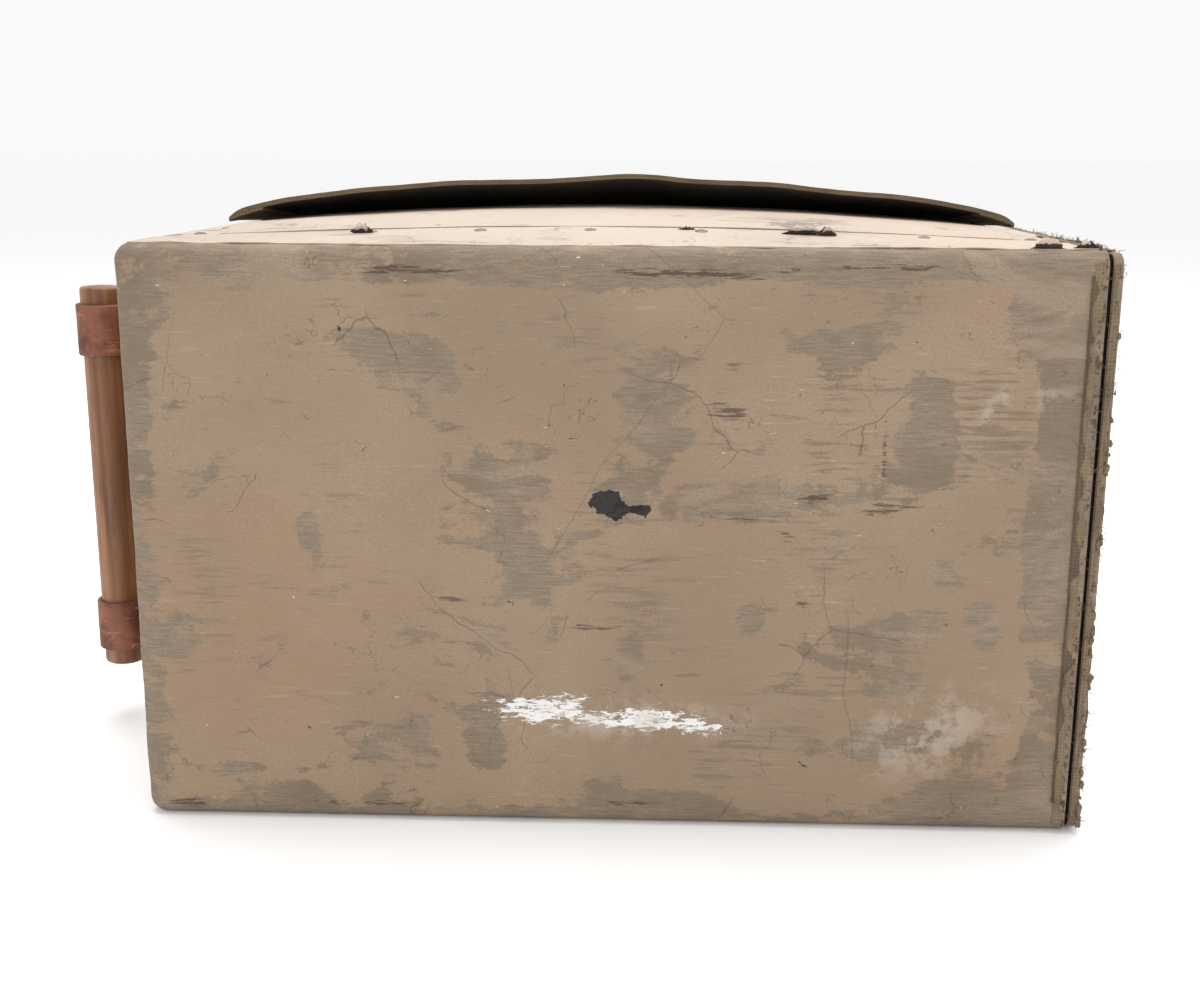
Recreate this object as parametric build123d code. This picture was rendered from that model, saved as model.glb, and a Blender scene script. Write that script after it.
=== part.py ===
"""Large box camera in a canvas-covered case, for plates up to 120 x 165 mm.

Row frame, in millimetres: the origin is the mouth of the tripod bush, in the middle of the underside.
+X is the way the lens looks, +Z is up, -Y is the near side and +Y the far side.
The handle end is at -X and the front cover is at +X. Each sub-part is written to parts/NODE.step.
"""

import math
import os

from build123d import *

# ---- driving dimensions ----
LENGTH = 560.0  # over the rear end and the closed front cover
WIDTH = 343.0
HEIGHT = 343.0
CANVAS = 1.2  # painted canvas glued to the boards
FIBRE = 2.5  # vulcanised fibre flanges round the top opening
BOARD = 9.0
BASE = 10.0
EDGE_R = 10.0  # rounding of the covered edges
COVER = 5.0
COVER_GAP = 2.0
LINING = 0.8
BATTEN = 12.0
FRAME = 12.0
FIT = 0.3  # clearance round parts that slide or turn

REAR = -LENGTH / 2
FRONT = LENGTH / 2
HALF_W = WIDTH / 2
COVER_BACK = FRONT - COVER - 2 * LINING
MOUTH = COVER_BACK - COVER_GAP  # the open front end of the case
INSIDE_Y = HALF_W - CANVAS - BOARD
INSIDE_REAR = REAR + CANVAS + BOARD
FLOOR = CANVAS + BASE
TOP_BOARD = HEIGHT - FIBRE
SHOULDER = HEIGHT - EDGE_R  # where the rounded top edge begins

# ---- top opening and its two flaps ----
CROWN = 13.5  # bulge of the near half of the top
CROWN_POWER = 2.6
NEAR_FLANGE = 56.0
FAR_FLANGE = 40.0
REAR_FLANGE_X = -218.0
FRONT_FLANGE_X = 198.0
INNER_FLAP_X = 235.0
INNER_FLAP_NEAR = NEAR_FLANGE + 1.5
INNER_FLAP_FAR = 191.0
FLAP_BOARD = 3.0
HINGE_STRIP = 1.5
HINGE_HALF = 196.0
TOP_FLAP_X = 250.0
TOP_FLAP_NEAR = 135.0
TOP_FLAP_FAR = 318.0
TOP_FLAP_RISE = 31.8  # how far the warped free edge stands up in the middle
TOP_FLAP_ARC = 258.0  # half length of the ellipse that its free edge follows
TOP_FLAP_BASE = HEIGHT + 0.6
HEM = 1.5
HEM_WIDTH = 22.0

# ---- tripod bush ----
BUSH_R = 9.0
BUSH_FLANGE_R = 22.0
THREAD_R = 4.0
THREAD_DEPTH = 12.0

# ---- optics ----
AXIS_Z = HEIGHT / 2
BULKHEAD = FRONT_FLANGE_X + 1.0
LENS_BOARD_X = BULKHEAD + FRAME
LENS_BOARD = 8.0
FLANGE_X = LENS_BOARD_X + LENS_BOARD
BARREL_R = 30.0
BARREL_WALL = 3.0
BARREL_REAR = 176.0
BARREL_FRONT = 244.0
STOP_X = 228.0

# ---- focusing carriage ----
PLATE_Y = 120.0
PLATE_Z = 165.0
CARRIAGE_X = 8.0
SLEDGE_BACK = -60.0
SLEDGE_FRONT = 82.0
SLEDGE_Y = 110.0
RUNNER_Y = 75.0
RUNNER_H = 12.0
SLEDGE_Z = FLOOR + RUNNER_H + FIT
SLEDGE_TOP = SLEDGE_Z + 10.0
SCREEN_Y = 75.0
SCREEN_Z = 97.5
SCREEN_BACK = -5.8
SCREEN_FRONT = 6.2
SCREEN_PIVOT = (0.2, 71.5)
ROD_Y = 105.0
ROD_Z = 60.0
ROD_R = 4.0

# ---- carrying handle ----
GRIP_R = 14.0
GRIP_LENGTH = 265.0
GRIP_X = REAR - 70.0
STAPLE_X = REAR - 9.0
STAPLE_R = 2.0
STRAP = 3.0
STRAP_WIDTH = 34.0
STRAP_SPACING = 207.5

# ---- viewing port ----
PORT = (-85.0, 235.0)
PORT_R = 22.0
PORT_PIVOT_Z = 271.0

# ---- rivets ----
RIVET_HEAD_R = 5.0
RIVET_SHANK_R = 1.8
NEAR_RIVETS = [(-142.0 + 64.0 * i, 46.0) for i in range(6)]  # (x, distance from the near side)
END_RIVETS = [(x, t) for x in (-257.0, 251.0) for t in (95.0, 157.0, 166.0, 250.0)]
FAR_TACKS = [(-225.0 + 50.0 * i, 326.0) for i in range(10)]

os.makedirs("parts", exist_ok=True)


def block(x0, x1, y0, y1, z0, z1):
    """A box between two corners."""
    return Pos((x0 + x1) / 2, (y0 + y1) / 2, (z0 + z1) / 2) * Box(x1 - x0, y1 - y0, z1 - z0)


def rod_x(r, x0, x1, y, z):
    """A cylinder along X."""
    return Pos((x0 + x1) / 2, y, z) * Rot(0, 90, 0) * Cylinder(r, x1 - x0)


def rod_y(r, y0, y1, x, z):
    """A cylinder along Y."""
    return Pos(x, (y0 + y1) / 2, z) * Rot(90, 0, 0) * Cylinder(r, y1 - y0)


def rod_z(r, z0, z1, x, y):
    """A cylinder along Z."""
    return Pos(x, y, (z0 + z1) / 2) * Cylinder(r, z1 - z0)


def save(node, *solids):
    """Writes one sub-part, one solid or a group of them."""
    flat = [s for shape in solids for s in shape.solids()]
    export_step(Compound(children=flat) if len(flat) > 1 else flat[0], f"parts/{node}.step")


def near(t):
    """Y of a place t millimetres in from the near side."""
    return -HALF_W + t


def crown(x, t):
    """How far the bulged near half of the top stands above the flat plane."""
    along = min(max((t - EDGE_R) / 160.0, 0.0), 1.0)
    return CROWN * math.cos(math.pi * x / LENGTH) * (1 - (1 - along) ** CROWN_POWER)


def sheet(height, x0, x1, t0, t1, thickness, columns=13, rows=6):
    """A curved sheet whose underside is height(x, t)."""
    points = [
        [
            Vector(x, near(t), height(x, t))
            for t in (t0 + (t1 - t0) * j / (rows - 1) for j in range(rows))
        ]
        for x in (x0 + (x1 - x0) * i / (columns - 1) for i in range(columns))
    ]
    face = Face.make_surface_from_array_of_points(points)
    return Solid.extrude(face, Vector(0, 0, thickness))


def dome_head(r, rise):
    """A domed rivet or tack head, flat side down on the XY plane."""
    ball_r = (r * r + rise * rise) / (2 * rise)
    return (Pos(0, 0, rise - ball_r) * Sphere(ball_r)) & (Pos(0, 0, rise / 2) * Cylinder(r * 1.01, rise))


def fastener(grip, washer=True):
    """A rivet, or a tack with no washer: head up on the XY plane, its shank as long as the grip."""
    body = dome_head(RIVET_HEAD_R, 1.6) + Pos(0, 0, -grip / 2) * Cylinder(RIVET_SHANK_R, grip)
    return body + Pos(0, 0, -grip - 0.5) * Cylinder(4.2, 1.0) if washer else body


def on_crown(x, t):
    """The place and tilt of a fastener on the bulged near half of the top."""
    tilt_x = math.degrees(math.atan(crown(x, t + 0.5) - crown(x, t - 0.5)))
    tilt_y = math.degrees(math.atan(crown(x - 0.5, t) - crown(x + 0.5, t)))
    return Pos(x, near(t), HEIGHT + crown(x, t)) * Rot(tilt_x, tilt_y, 0)


# ---------------------------------------------------------------- case shell
def rounded_case(inset):
    """The case's outline, inset by a thickness, with the front end cut off at the mouth."""
    x0, x1 = REAR + inset, FRONT + 30.0
    solid = block(x0, x1, -HALF_W + inset, HALF_W - inset, inset, HEIGHT - inset)
    solid = fillet(solid.edges(), EDGE_R - inset)
    return solid & block(REAR - 1, MOUTH, -HALF_W, HALF_W, 0, HEIGHT)


OUTER = rounded_case(0.0)
UNDER_CANVAS = rounded_case(CANVAS)
UNDER_FIBRE = rounded_case(FIBRE)


def skin(x0, x1, y0, y1, z0, z1):
    """A patch of the canvas covering."""
    return (OUTER - UNDER_CANVAS) & block(x0, x1, y0, y1, z0, z1)


def board(x0, x1, y0, y1, z0, z1):
    """A wall board that follows the rounded outline under the canvas and the fibre."""
    low = UNDER_CANVAS & block(x0, x1, y0, y1, z0, min(z1, SHOULDER))
    if z1 <= SHOULDER:
        return low
    return low + (UNDER_FIBRE & block(x0, x1, y0, y1, SHOULDER, z1))


def covering():
    """The canvas on the bottom, the two sides and the rear end."""
    side = HALF_W - EDGE_R
    bush_hole = rod_z(BUSH_R, -1, CANVAS + 1, 0, 0)
    save("bottom_canvas", skin(REAR, MOUTH, -HALF_W, HALF_W, 0, EDGE_R) - bush_hole)
    near_side = skin(REAR, MOUTH, -HALF_W, -side, EDGE_R, SHOULDER)
    far_side = skin(REAR, MOUTH, side, HALF_W, EDGE_R, SHOULDER)
    rear = skin(REAR, REAR + EDGE_R, -side, side, EDGE_R, SHOULDER)
    rear -= rod_x(PORT_R, REAR - 1, REAR + EDGE_R, *PORT)
    rear -= rod_x(10.0, REAR - 1, REAR + EDGE_R, ROD_Y, ROD_Z)
    save("side_canvas", near_side, far_side, rear)


def walls():
    """The boards of the box."""
    base = board(REAR, MOUTH, -HALF_W, HALF_W, CANVAS, FLOOR)
    save("base_board", base - rod_z(BUSH_R, 0, FLOOR + 1, 0, 0))
    save("near_side_board", board(REAR, MOUTH, -HALF_W, -INSIDE_Y, FLOOR, TOP_BOARD))
    save("far_side_board", board(REAR, MOUTH, INSIDE_Y, HALF_W, FLOOR, TOP_BOARD))
    rear = board(REAR, INSIDE_REAR, -INSIDE_Y, INSIDE_Y, FLOOR, TOP_BOARD)
    rear -= rod_x(PORT_R, REAR, INSIDE_REAR + 1, *PORT)
    rear -= rod_x(8.0, REAR, INSIDE_REAR + 1, ROD_Y, ROD_Z)
    save("rear_end_board", rear)
    battens = [
        block(INSIDE_REAR, BULKHEAD, y, y + BATTEN, z, z + BATTEN)
        for y in (-INSIDE_Y, INSIDE_Y - BATTEN)
        for z in (FLOOR, TOP_BOARD - BATTEN)
    ]
    save("corner_battens", *battens)


def open_frame(x0, x1, half_y, low, high, hole_y, hole_low, hole_high):
    """Two stiles and two rails round an opening, as four separate pieces."""
    stiles = [block(x0, x1, y0, y1, low, high) for y0, y1 in ((hole_y, half_y), (-half_y, -hole_y))]
    rails = [block(x0, x1, -hole_y, hole_y, z0, z1) for z0, z1 in ((low, hole_low), (hole_high, high))]
    return stiles + rails


def bulkheads():
    """The lens bulkhead and the stop frame round the case's mouth."""
    hole = 65.0
    wall = (INSIDE_Y, FLOOR, TOP_BOARD)
    lens_frame = open_frame(BULKHEAD, LENS_BOARD_X, *wall, hole, AXIS_Z - hole, AXIS_Z + hole)
    save("lens_bulkhead", *lens_frame)
    inner = (INSIDE_Y - BATTEN, FLOOR + BATTEN, TOP_BOARD - BATTEN)
    save("mouth_frame", *open_frame(MOUTH - BATTEN, MOUTH, *wall, *inner))


# ---------------------------------------------------------------- top flanges and flaps
def flange_plate(x0, x1, y0, y1):
    """A flat part of the fibre top, with the case's rounded edge where it meets one."""
    return (OUTER - UNDER_FIBRE) & block(x0, x1, y0, y1, SHOULDER, HEIGHT)


def crowned_strip(drop, thickness, half_x, t0, t1):
    """A strip that follows the near flange, its top a given drop below the flange's underside."""
    whole = sheet(
        lambda x, t: TOP_BOARD - drop + crown(x, t),
        REAR + EDGE_R,
        MOUTH,
        EDGE_R,
        NEAR_FLANGE,
        thickness,
    )
    return whole & block(-half_x, half_x, near(t0), near(t1), TOP_BOARD - 20, HEIGHT + 40)


def top_flanges():
    """Four fibre strips round the access opening, and the rivets through them."""
    near_y, far_y = near(NEAR_FLANGE), HALF_W - FAR_FLANGE
    edge_y = -HALF_W + EDGE_R
    near_rivets = [on_crown(x, t) * fastener(FIBRE + HINGE_STRIP) for x, t in NEAR_RIVETS]
    end_rivets = [Pos(x, near(t), HEIGHT) * fastener(FIBRE) for x, t in END_RIVETS]
    save("top_flange_rivets", *near_rivets, *end_rivets)
    near_flange = flange_plate(REAR, MOUTH, -HALF_W, edge_y)
    near_flange += crowned_strip(0.0, FIBRE, LENGTH, EDGE_R, NEAR_FLANGE)
    leaf = crowned_strip(HINGE_STRIP, HINGE_STRIP, HINGE_HALF, 34.0, NEAR_FLANGE - 1.0)
    for solid in near_rivets:
        near_flange -= solid
        leaf -= solid
    save("near_top_flange", near_flange)
    save("inner_flap_hinge_fixed_leaf", leaf)
    rear = flange_plate(REAR, REAR_FLANGE_X, near_y, far_y)
    rear += flange_plate(REAR, REAR + EDGE_R, edge_y, near_y)
    front = flange_plate(FRONT_FLANGE_X, MOUTH, near_y, far_y)
    for solid in end_rivets:
        rear -= solid
        front -= solid
    save("end_top_flanges", rear, front)


def far_flange():
    """The fibre strip along the far edge, with the fixed leaf of the top flap's hinge tacked on it."""
    tacks = [
        Pos(x, near(t), HEIGHT + HINGE_STRIP) * fastener(FIBRE + HINGE_STRIP, washer=False)
        for x, t in FAR_TACKS
    ]
    flange = flange_plate(REAR, MOUTH, HALF_W - FAR_FLANGE, HALF_W)
    y0 = near(TOP_FLAP_FAR) + 0.6
    leaf = block(-TOP_FLAP_X, TOP_FLAP_X, y0, y0 + 14.0, HEIGHT, HEIGHT + HINGE_STRIP)
    for solid in tacks:
        flange -= solid
        leaf -= solid
    save("far_top_flange", flange)
    save("top_flap_hinge_fixed_leaf", leaf)
    save("top_flap_hinge_tacks", *tacks)


def top_flap_underside(x, t):
    """The warped flap lies flat at its hinge and arches up along its free edge."""
    along = (TOP_FLAP_FAR - t) / (TOP_FLAP_FAR - TOP_FLAP_NEAR)
    return TOP_FLAP_BASE + TOP_FLAP_RISE * math.sqrt(1 - (x / TOP_FLAP_ARC) ** 2) * along


def flaps():
    """The inner flap, riveted at the near flange, and the outer flap that closes over it."""
    span = (-INNER_FLAP_X, INNER_FLAP_X, INNER_FLAP_NEAR, INNER_FLAP_FAR)
    save("inner_flap_board", sheet(lambda x, t: HEIGHT + FIT + crown(x, t), *span, FLAP_BOARD))
    leaf = sheet(lambda x, t: HEIGHT + FIT - HINGE_STRIP + crown(x, t), *span, HINGE_STRIP)
    y0, y1 = near(INNER_FLAP_NEAR + 1), near(INNER_FLAP_NEAR + 24)
    leaf &= block(-HINGE_HALF, HINGE_HALF, y0, y1, 0, HEIGHT + 40)
    save("inner_flap_hinge_moving_leaf", leaf)
    span = (-TOP_FLAP_X, TOP_FLAP_X, TOP_FLAP_NEAR, TOP_FLAP_FAR)
    save("top_flap_board", sheet(top_flap_underside, *span, FLAP_BOARD, columns=25))
    lining = sheet(lambda x, t: top_flap_underside(x, t) - HEM, *span, HEM, columns=25)
    hem_y = near(TOP_FLAP_NEAR + 90.0)
    hems = [
        lining & block(min(x, x - s * HEM_WIDTH), max(x, x - s * HEM_WIDTH), near(0), hem_y, 0, HEIGHT + 60)
        for x, s in ((-TOP_FLAP_X, -1), (TOP_FLAP_X, 1))
    ]
    save("top_flap_hems", *hems)


# ---------------------------------------------------------------- front cover
COVER_NEAR = -HALF_W + 1.5
COVER_FAR = HALF_W - 0.5
COVER_LOW = 1.5
COVER_HIGH = HEIGHT - 1.0
HINGE_AXIS = (COVER_BACK - 1.0, HALF_W + 3.0)
HINGE_Z = (70.0, 273.0)


def front_cover():
    """The board that closes over the lens, its canvas, lining, tacks and leather pull."""
    x = COVER_BACK
    board_x = x + LINING
    lining = block(x, board_x, COVER_NEAR + 4, COVER_FAR - 4, COVER_LOW + 4, COVER_HIGH - 4)
    save("front_cover_lining", lining)
    slab = block(board_x, board_x + COVER, COVER_NEAR + 1, COVER_FAR - 1, COVER_LOW + 1, COVER_HIGH - 1)
    slab = fillet(slab.edges().filter_by(Axis.X), 6.0)
    canvas = block(board_x, FRONT, COVER_NEAR, COVER_FAR, COVER_LOW, COVER_HIGH)
    canvas = fillet(canvas.edges().filter_by(Axis.X), 7.0)
    save("front_cover_board", slab)
    save("front_cover_canvas", canvas - slab)
    edge_y = COVER_NEAR + 10.0
    places = [(edge_y, COVER_LOW + 14.0 + 26.0 * i) for i in range(13)]
    tacks = [Pos(FRONT, y, z) * Rot(0, 90, 0) * dome_head(2.6, 1.4) for y, z in places]
    save("front_cover_tacks", *tacks)
    tab = block(FRONT, FRONT + 2.4, -150.0, -118.0, AXIS_Z - 11, AXIS_Z + 11)
    tab = fillet(tab.edges().filter_by(Axis.X), 8.0)
    save("front_cover_pull", tab)


def knuckle(z0, z1):
    """One knuckle of a cover hinge, bored for its pin."""
    x, y = HINGE_AXIS
    return rod_z(3.0, z0, z1, x, y) - rod_z(1.55, z0 - 1, z1 + 1, x, y)


def cover_hinges():
    """Two butt hinges at the far edge of the front cover."""
    x, y = HINGE_AXIS
    case_leaves, cover_leaves, pins = [], [], []
    for z in HINGE_Z:
        case_leaf = block(x - 34, x - 0.8, HALF_W, HALF_W + 1.5, z - 20, z + 20)
        case_leaf -= block(x - 4.0, x + 1, HALF_W - 1, HALF_W + 2, z - 8.0, z + 8.0)
        ends = knuckle(z - 20, z - 8.0) + knuckle(z + 8.0, z + 20)
        bore = rod_z(1.55, z - 30, z + 30, x, y)
        case_leaves += [(case_leaf + ends) - bore]
        edge = block(x + 1.2, FRONT + 1.5, HALF_W - 0.5, HALF_W + 1.2, z - 7.7, z + 7.7)
        face = block(FRONT, FRONT + 1.5, HALF_W - 34, HALF_W + 1.2, z - 20, z + 20)
        middle = knuckle(z - 7.7, z + 7.7)
        cover_leaves += [(edge + face + middle) - bore]
        pins += [rod_z(1.5, z - 20, z + 20, x, y)]
    save("cover_hinge_case_leaves", *case_leaves, *pins)
    save("cover_hinge_cover_leaves", *cover_leaves)


# ---------------------------------------------------------------- handle
def handle():
    """A wooden grip held in two leather loops, each on a steel staple."""
    grip = rod_z(GRIP_R, AXIS_Z - GRIP_LENGTH / 2, AXIS_Z + GRIP_LENGTH / 2, GRIP_X, 0)
    save("grip_dowel", fillet(grip.edges(), 1.5))
    loops, rivets, staples = [], [], []
    half = STRAP + 0.2
    foot = STRAP_WIDTH / 2 + 4
    for z in (AXIS_Z - STRAP_SPACING / 2, AXIS_Z + STRAP_SPACING / 2):
        z0, z1 = z - STRAP_WIDTH / 2, z + STRAP_WIDTH / 2
        loop = rod_z(GRIP_R + STRAP, z0, z1, GRIP_X, 0)
        loop += rod_z(STAPLE_R + FIT + STRAP, z0, z1, STAPLE_X, 0)
        loop += block(GRIP_X, STAPLE_X, -half, half, z0, z1)
        loop -= rod_z(GRIP_R + 0.05, z0 - 1, z1 + 1, GRIP_X, 0)
        loop -= rod_z(STAPLE_R + FIT, z0 - 1, z1 + 1, STAPLE_X, 0)
        stud = rod_y(1.8, -half, half, GRIP_X + 30, z)
        loops.append(loop - stud)
        for side in (1, -1):
            stud += Pos(GRIP_X + 30, side * half, z) * Rot(-90 * side, 0, 0) * dome_head(4.5, 1.6)
        rivets.append(stud)
        staple = rod_z(STAPLE_R, z - foot, z + foot, STAPLE_X, 0)
        for s in (1, -1):
            post_z, plate_z = z + s * foot, z + s * (foot + 6)
            staple += block(STAPLE_X - STAPLE_R, REAR, -3, 3, post_z - 2, post_z + 2)
            staple += block(REAR - 1.6, REAR, -15, 15, plate_z - 8, plate_z + 8)
        staples.append(staple)
    save("handle_loops", *loops)
    save("handle_loop_rivets", *rivets)
    save("handle_staples", *staples)


# ---------------------------------------------------------------- lens
def glass(x, r, front_bulge, back_bulge, thickness):
    """A lens element on the optical axis, its rim's back face at x."""

    def cap_point(bulge, y):
        """How far a spherical cap with the given bulge stands out at a distance from the axis."""
        ball_r = (r * r + bulge * bulge) / (2 * bulge)
        return bulge - ball_r + math.sqrt(ball_r * ball_r - y * y)

    x1 = x + thickness
    outline = [
        ThreePointArc((x - back_bulge, 0), (x - cap_point(back_bulge, r / 2), r / 2), (x, r)),
        Line((x, r), (x1, r)),
        ThreePointArc((x1, r), (x1 + cap_point(front_bulge, r / 2), r / 2), (x1 + front_bulge, 0)),
        Line((x1 + front_bulge, 0), (x - back_bulge, 0)),
    ]
    return Pos(0, 0, AXIS_Z) * revolve(make_face(Curve() + outline), Axis.X)


def lens():
    """The lens board with a brass portrait lens, its stop and its cap."""
    hole = rod_x(BARREL_R + 0.1, 0, FRONT, 0, AXIS_Z)
    plate = block(LENS_BOARD_X, FLANGE_X, -75, 75, AXIS_Z - 75, AXIS_Z + 75)
    corners = [(y, AXIS_Z + z) for y in (-69, 69) for z in (-69, 69)]
    bores = Compound(children=[rod_x(1.8, LENS_BOARD_X - 1, FLANGE_X + 1, y, z) for y, z in corners])
    save("lens_board", plate - hole - bores)
    screws = []
    for y, z in corners:
        head = Pos(FLANGE_X, y, z) * Rot(0, 90, 0) * dome_head(3.4, 1.4)
        screws.append(rod_x(1.75, LENS_BOARD_X, FLANGE_X, y, z) + head)
    collar = rod_x(44, FLANGE_X, FLANGE_X + 4, 0, AXIS_Z) - hole
    save("lens_flange", collar)
    for i in range(4):
        angle = math.radians(45 + 90 * i)
        y, z = 38 * math.cos(angle), AXIS_Z + 38 * math.sin(angle)
        screws.append(Pos(FLANGE_X + 4, y, z) * Rot(0, 90, 0) * dome_head(2.8, 1.2))
    save("lens_screws", *screws)
    bore_r = BARREL_R - BARREL_WALL
    barrel = rod_x(BARREL_R, BARREL_REAR, BARREL_FRONT, 0, AXIS_Z)
    barrel += rod_x(BARREL_R + 1.6, BARREL_FRONT - 3, BARREL_FRONT, 0, AXIS_Z)
    barrel -= rod_x(bore_r, BARREL_REAR - 1, BARREL_FRONT + 1, 0, AXIS_Z)
    barrel -= block(STOP_X - 0.8, STOP_X + 0.8, -20.5, 20.5, AXIS_Z, AXIS_Z + 40)
    save("lens_barrel", barrel)
    seat_r = bore_r - 0.05
    save(
        "lens_elements",
        glass(BARREL_FRONT - 12, seat_r, 4, 1.5, 5),
        glass(BARREL_REAR + 7, seat_r, 1.5, 4, 5),
    )
    rings = [
        rod_x(seat_r, x, x + 2.4, 0, AXIS_Z) - rod_x(bore_r - 2.5, x - 1, x + 4, 0, AXIS_Z)
        for x in (BARREL_FRONT - 6.0, BARREL_REAR + 3.5)
    ]
    save("retaining_rings", *rings)


def stop_and_cap():
    """The loose stop in the barrel's slot, and the leather-covered cap on its mouth."""
    z = AXIS_Z
    stop = rod_x(20.0, STOP_X - 0.5, STOP_X + 0.5, 0, z)
    stop += block(STOP_X - 0.5, STOP_X + 0.5, -20.0, 20.0, z, z + 34)
    stop += block(STOP_X - 0.5, STOP_X + 0.5, -7.0, 7.0, z + 34, z + 44)
    save("waterhouse_stop", stop - rod_x(9.0, STOP_X - 1, STOP_X + 1, 0, z))
    rim_r = BARREL_R + 1.6
    cap = rod_x(rim_r + FIT + 2.5, BARREL_FRONT - 11, BARREL_FRONT + 3, 0, z)
    cap -= rod_x(rim_r + FIT, BARREL_FRONT - 12, BARREL_FRONT + FIT, 0, z)
    save("lens_cap", cap + rod_x(7.0, BARREL_FRONT + 3, BARREL_FRONT + 6.5, 0, z))


# ---------------------------------------------------------------- carriage
def carriage():
    """The sledge that slides on two runners and carries the plate frame."""
    runners = [
        block(-200, 190, s * RUNNER_Y - 8, s * RUNNER_Y + 8, FLOOR, FLOOR + RUNNER_H) for s in (1, -1)
    ]
    save("focusing_runners", *runners)
    sledge = block(SLEDGE_BACK, SLEDGE_FRONT, -SLEDGE_Y, SLEDGE_Y, SLEDGE_Z, SLEDGE_TOP)
    guide = RUNNER_Y + 8 + FIT
    guides = [
        block(SLEDGE_BACK, SLEDGE_FRONT, y, y + 10, FLOOR + 0.5, SLEDGE_Z) for y in (guide, -guide - 10)
    ]
    save("sledge_boards", sledge, *guides)
    x0, x1 = CARRIAGE_X, CARRIAGE_X + FRAME
    frame = open_frame(
        x0, x1, 100, SLEDGE_TOP, AXIS_Z + 125, PLATE_Y / 2, AXIS_Z - PLATE_Z / 2, AXIS_Z + PLATE_Z / 2
    )
    wedge = Polygon((x1, SLEDGE_TOP), (x1 + 58, SLEDGE_TOP), (x1, SLEDGE_TOP + 110), align=None)
    gussets = [Pos(0, y, 0) * Rot(90, 0, 0) * extrude(wedge, 5, both=True) for y in (-92.0, 92.0)]
    save("plate_frame", *frame, *gussets)
    pillar = block(SLEDGE_BACK, SLEDGE_BACK + 12, ROD_Y - 12, ROD_Y + 5, SLEDGE_TOP, ROD_Z + 10)
    save("rod_bracket", pillar - rod_x(ROD_R, SLEDGE_BACK - 1, SLEDGE_BACK + 13, ROD_Y, ROD_Z))
    knob_x = REAR - 8.0
    save("focusing_rod", rod_x(ROD_R, knob_x - 14, SLEDGE_BACK + 12, ROD_Y, ROD_Z))
    knob = rod_x(15.0, knob_x - 18, knob_x, ROD_Y, ROD_Z)
    knob = fillet(knob.edges(), 4.0) - rod_x(ROD_R, knob_x - 14, knob_x + 1, ROD_Y, ROD_Z)
    save("focusing_knob", knob)
    bush = rod_x(8.0, REAR - 0.5, INSIDE_REAR, ROD_Y, ROD_Z) + rod_x(14.0, REAR - 2.5, REAR, ROD_Y, ROD_Z)
    save("rod_bushing", bush - rod_x(ROD_R + 0.05, REAR - 5, INSIDE_REAR + 1, ROD_Y, ROD_Z))


def pivot_bracket(sign):
    """An angle bracket on the plate frame that holds one pivot of the screen."""
    x, y = SCREEN_PIVOT
    edge = AXIS_Z + sign * (SCREEN_Z + 1.0)
    z0, z1 = sorted((edge, edge + sign * 4.0))
    tab = block(-6.0, CARRIAGE_X, y - 7.5, y + 7.5, z0, z1) - rod_z(2.05, z0 - 1, z1 + 1, x, y)
    z2, z3 = sorted((edge + sign * 4.0, edge + sign * 20.0))
    return tab + block(CARRIAGE_X - 1.6, CARRIAGE_X, y - 7.5, y + 7.5, z2, z3)


def focusing_screen():
    """The ground-glass frame that swings aside when a plate holder takes its place."""
    x, y = SCREEN_PIVOT
    hole_y, hole_z = PLATE_Y / 2 - 3, PLATE_Z / 2 - 3
    outer = (SCREEN_Y, AXIS_Z - SCREEN_Z, AXIS_Z + SCREEN_Z)
    bars = open_frame(SCREEN_BACK, SCREEN_FRONT, *outer, hole_y, AXIS_Z - hole_z, AXIS_Z + hole_z)

    def pane(x0, x1, lap):
        """A plate over the frame's opening that laps on to the frame."""
        return block(x0, x1, -hole_y - lap, hole_y + lap, AXIS_Z - hole_z - lap, AXIS_Z + hole_z + lap)

    rebate = pane(SCREEN_FRONT - 2.6, SCREEN_FRONT + 1, 4)
    bores = [rod_z(2.0, AXIS_Z + s * SCREEN_Z - 12, AXIS_Z + s * SCREEN_Z + 12, x, y) for s in (1, -1)]
    save("screen_frame", *[bar - rebate - bores[0] - bores[1] for bar in bars])
    save("ground_glass", pane(SCREEN_FRONT - 2.5, SCREEN_FRONT - 0.5, 3.6))
    pin_ends = (SCREEN_Z - 12, SCREEN_Z + 5.0)
    pins = [rod_z(2.0, *sorted(AXIS_Z + s * end for end in pin_ends), x, y) for s in (1, -1)]
    save("screen_pivot_pins", *pins)
    save("screen_pivot_brackets", pivot_bracket(1), pivot_bracket(-1))
    button = block(SCREEN_BACK - 3.2, SCREEN_BACK - 0.3, -89, -79, AXIS_Z - 7, AXIS_Z + 24)
    button = fillet(button.edges().filter_by(Axis.X), 4.0)
    save("screen_turn_button", button - rod_x(2.05, SCREEN_BACK - 5, SCREEN_BACK + 1, -84, AXIS_Z))
    post = rod_x(2.0, SCREEN_BACK - 3.4, CARRIAGE_X, -84, AXIS_Z)
    post += rod_x(5.0, SCREEN_BACK, CARRIAGE_X, -84, AXIS_Z)
    post += Pos(SCREEN_BACK - 3.4, -84, AXIS_Z) * Rot(0, -90, 0) * dome_head(3.6, 1.4)
    save("turn_button_post", post)


# ---------------------------------------------------------------- plate holder and its rack
HOLDER_X = (-212.0, -62.0)
HOLDER_Y = (116.0, 129.0)
HOLDER_Z = (FLOOR + BATTEN + 0.5, FLOOR + BATTEN + 195.5)


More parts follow.
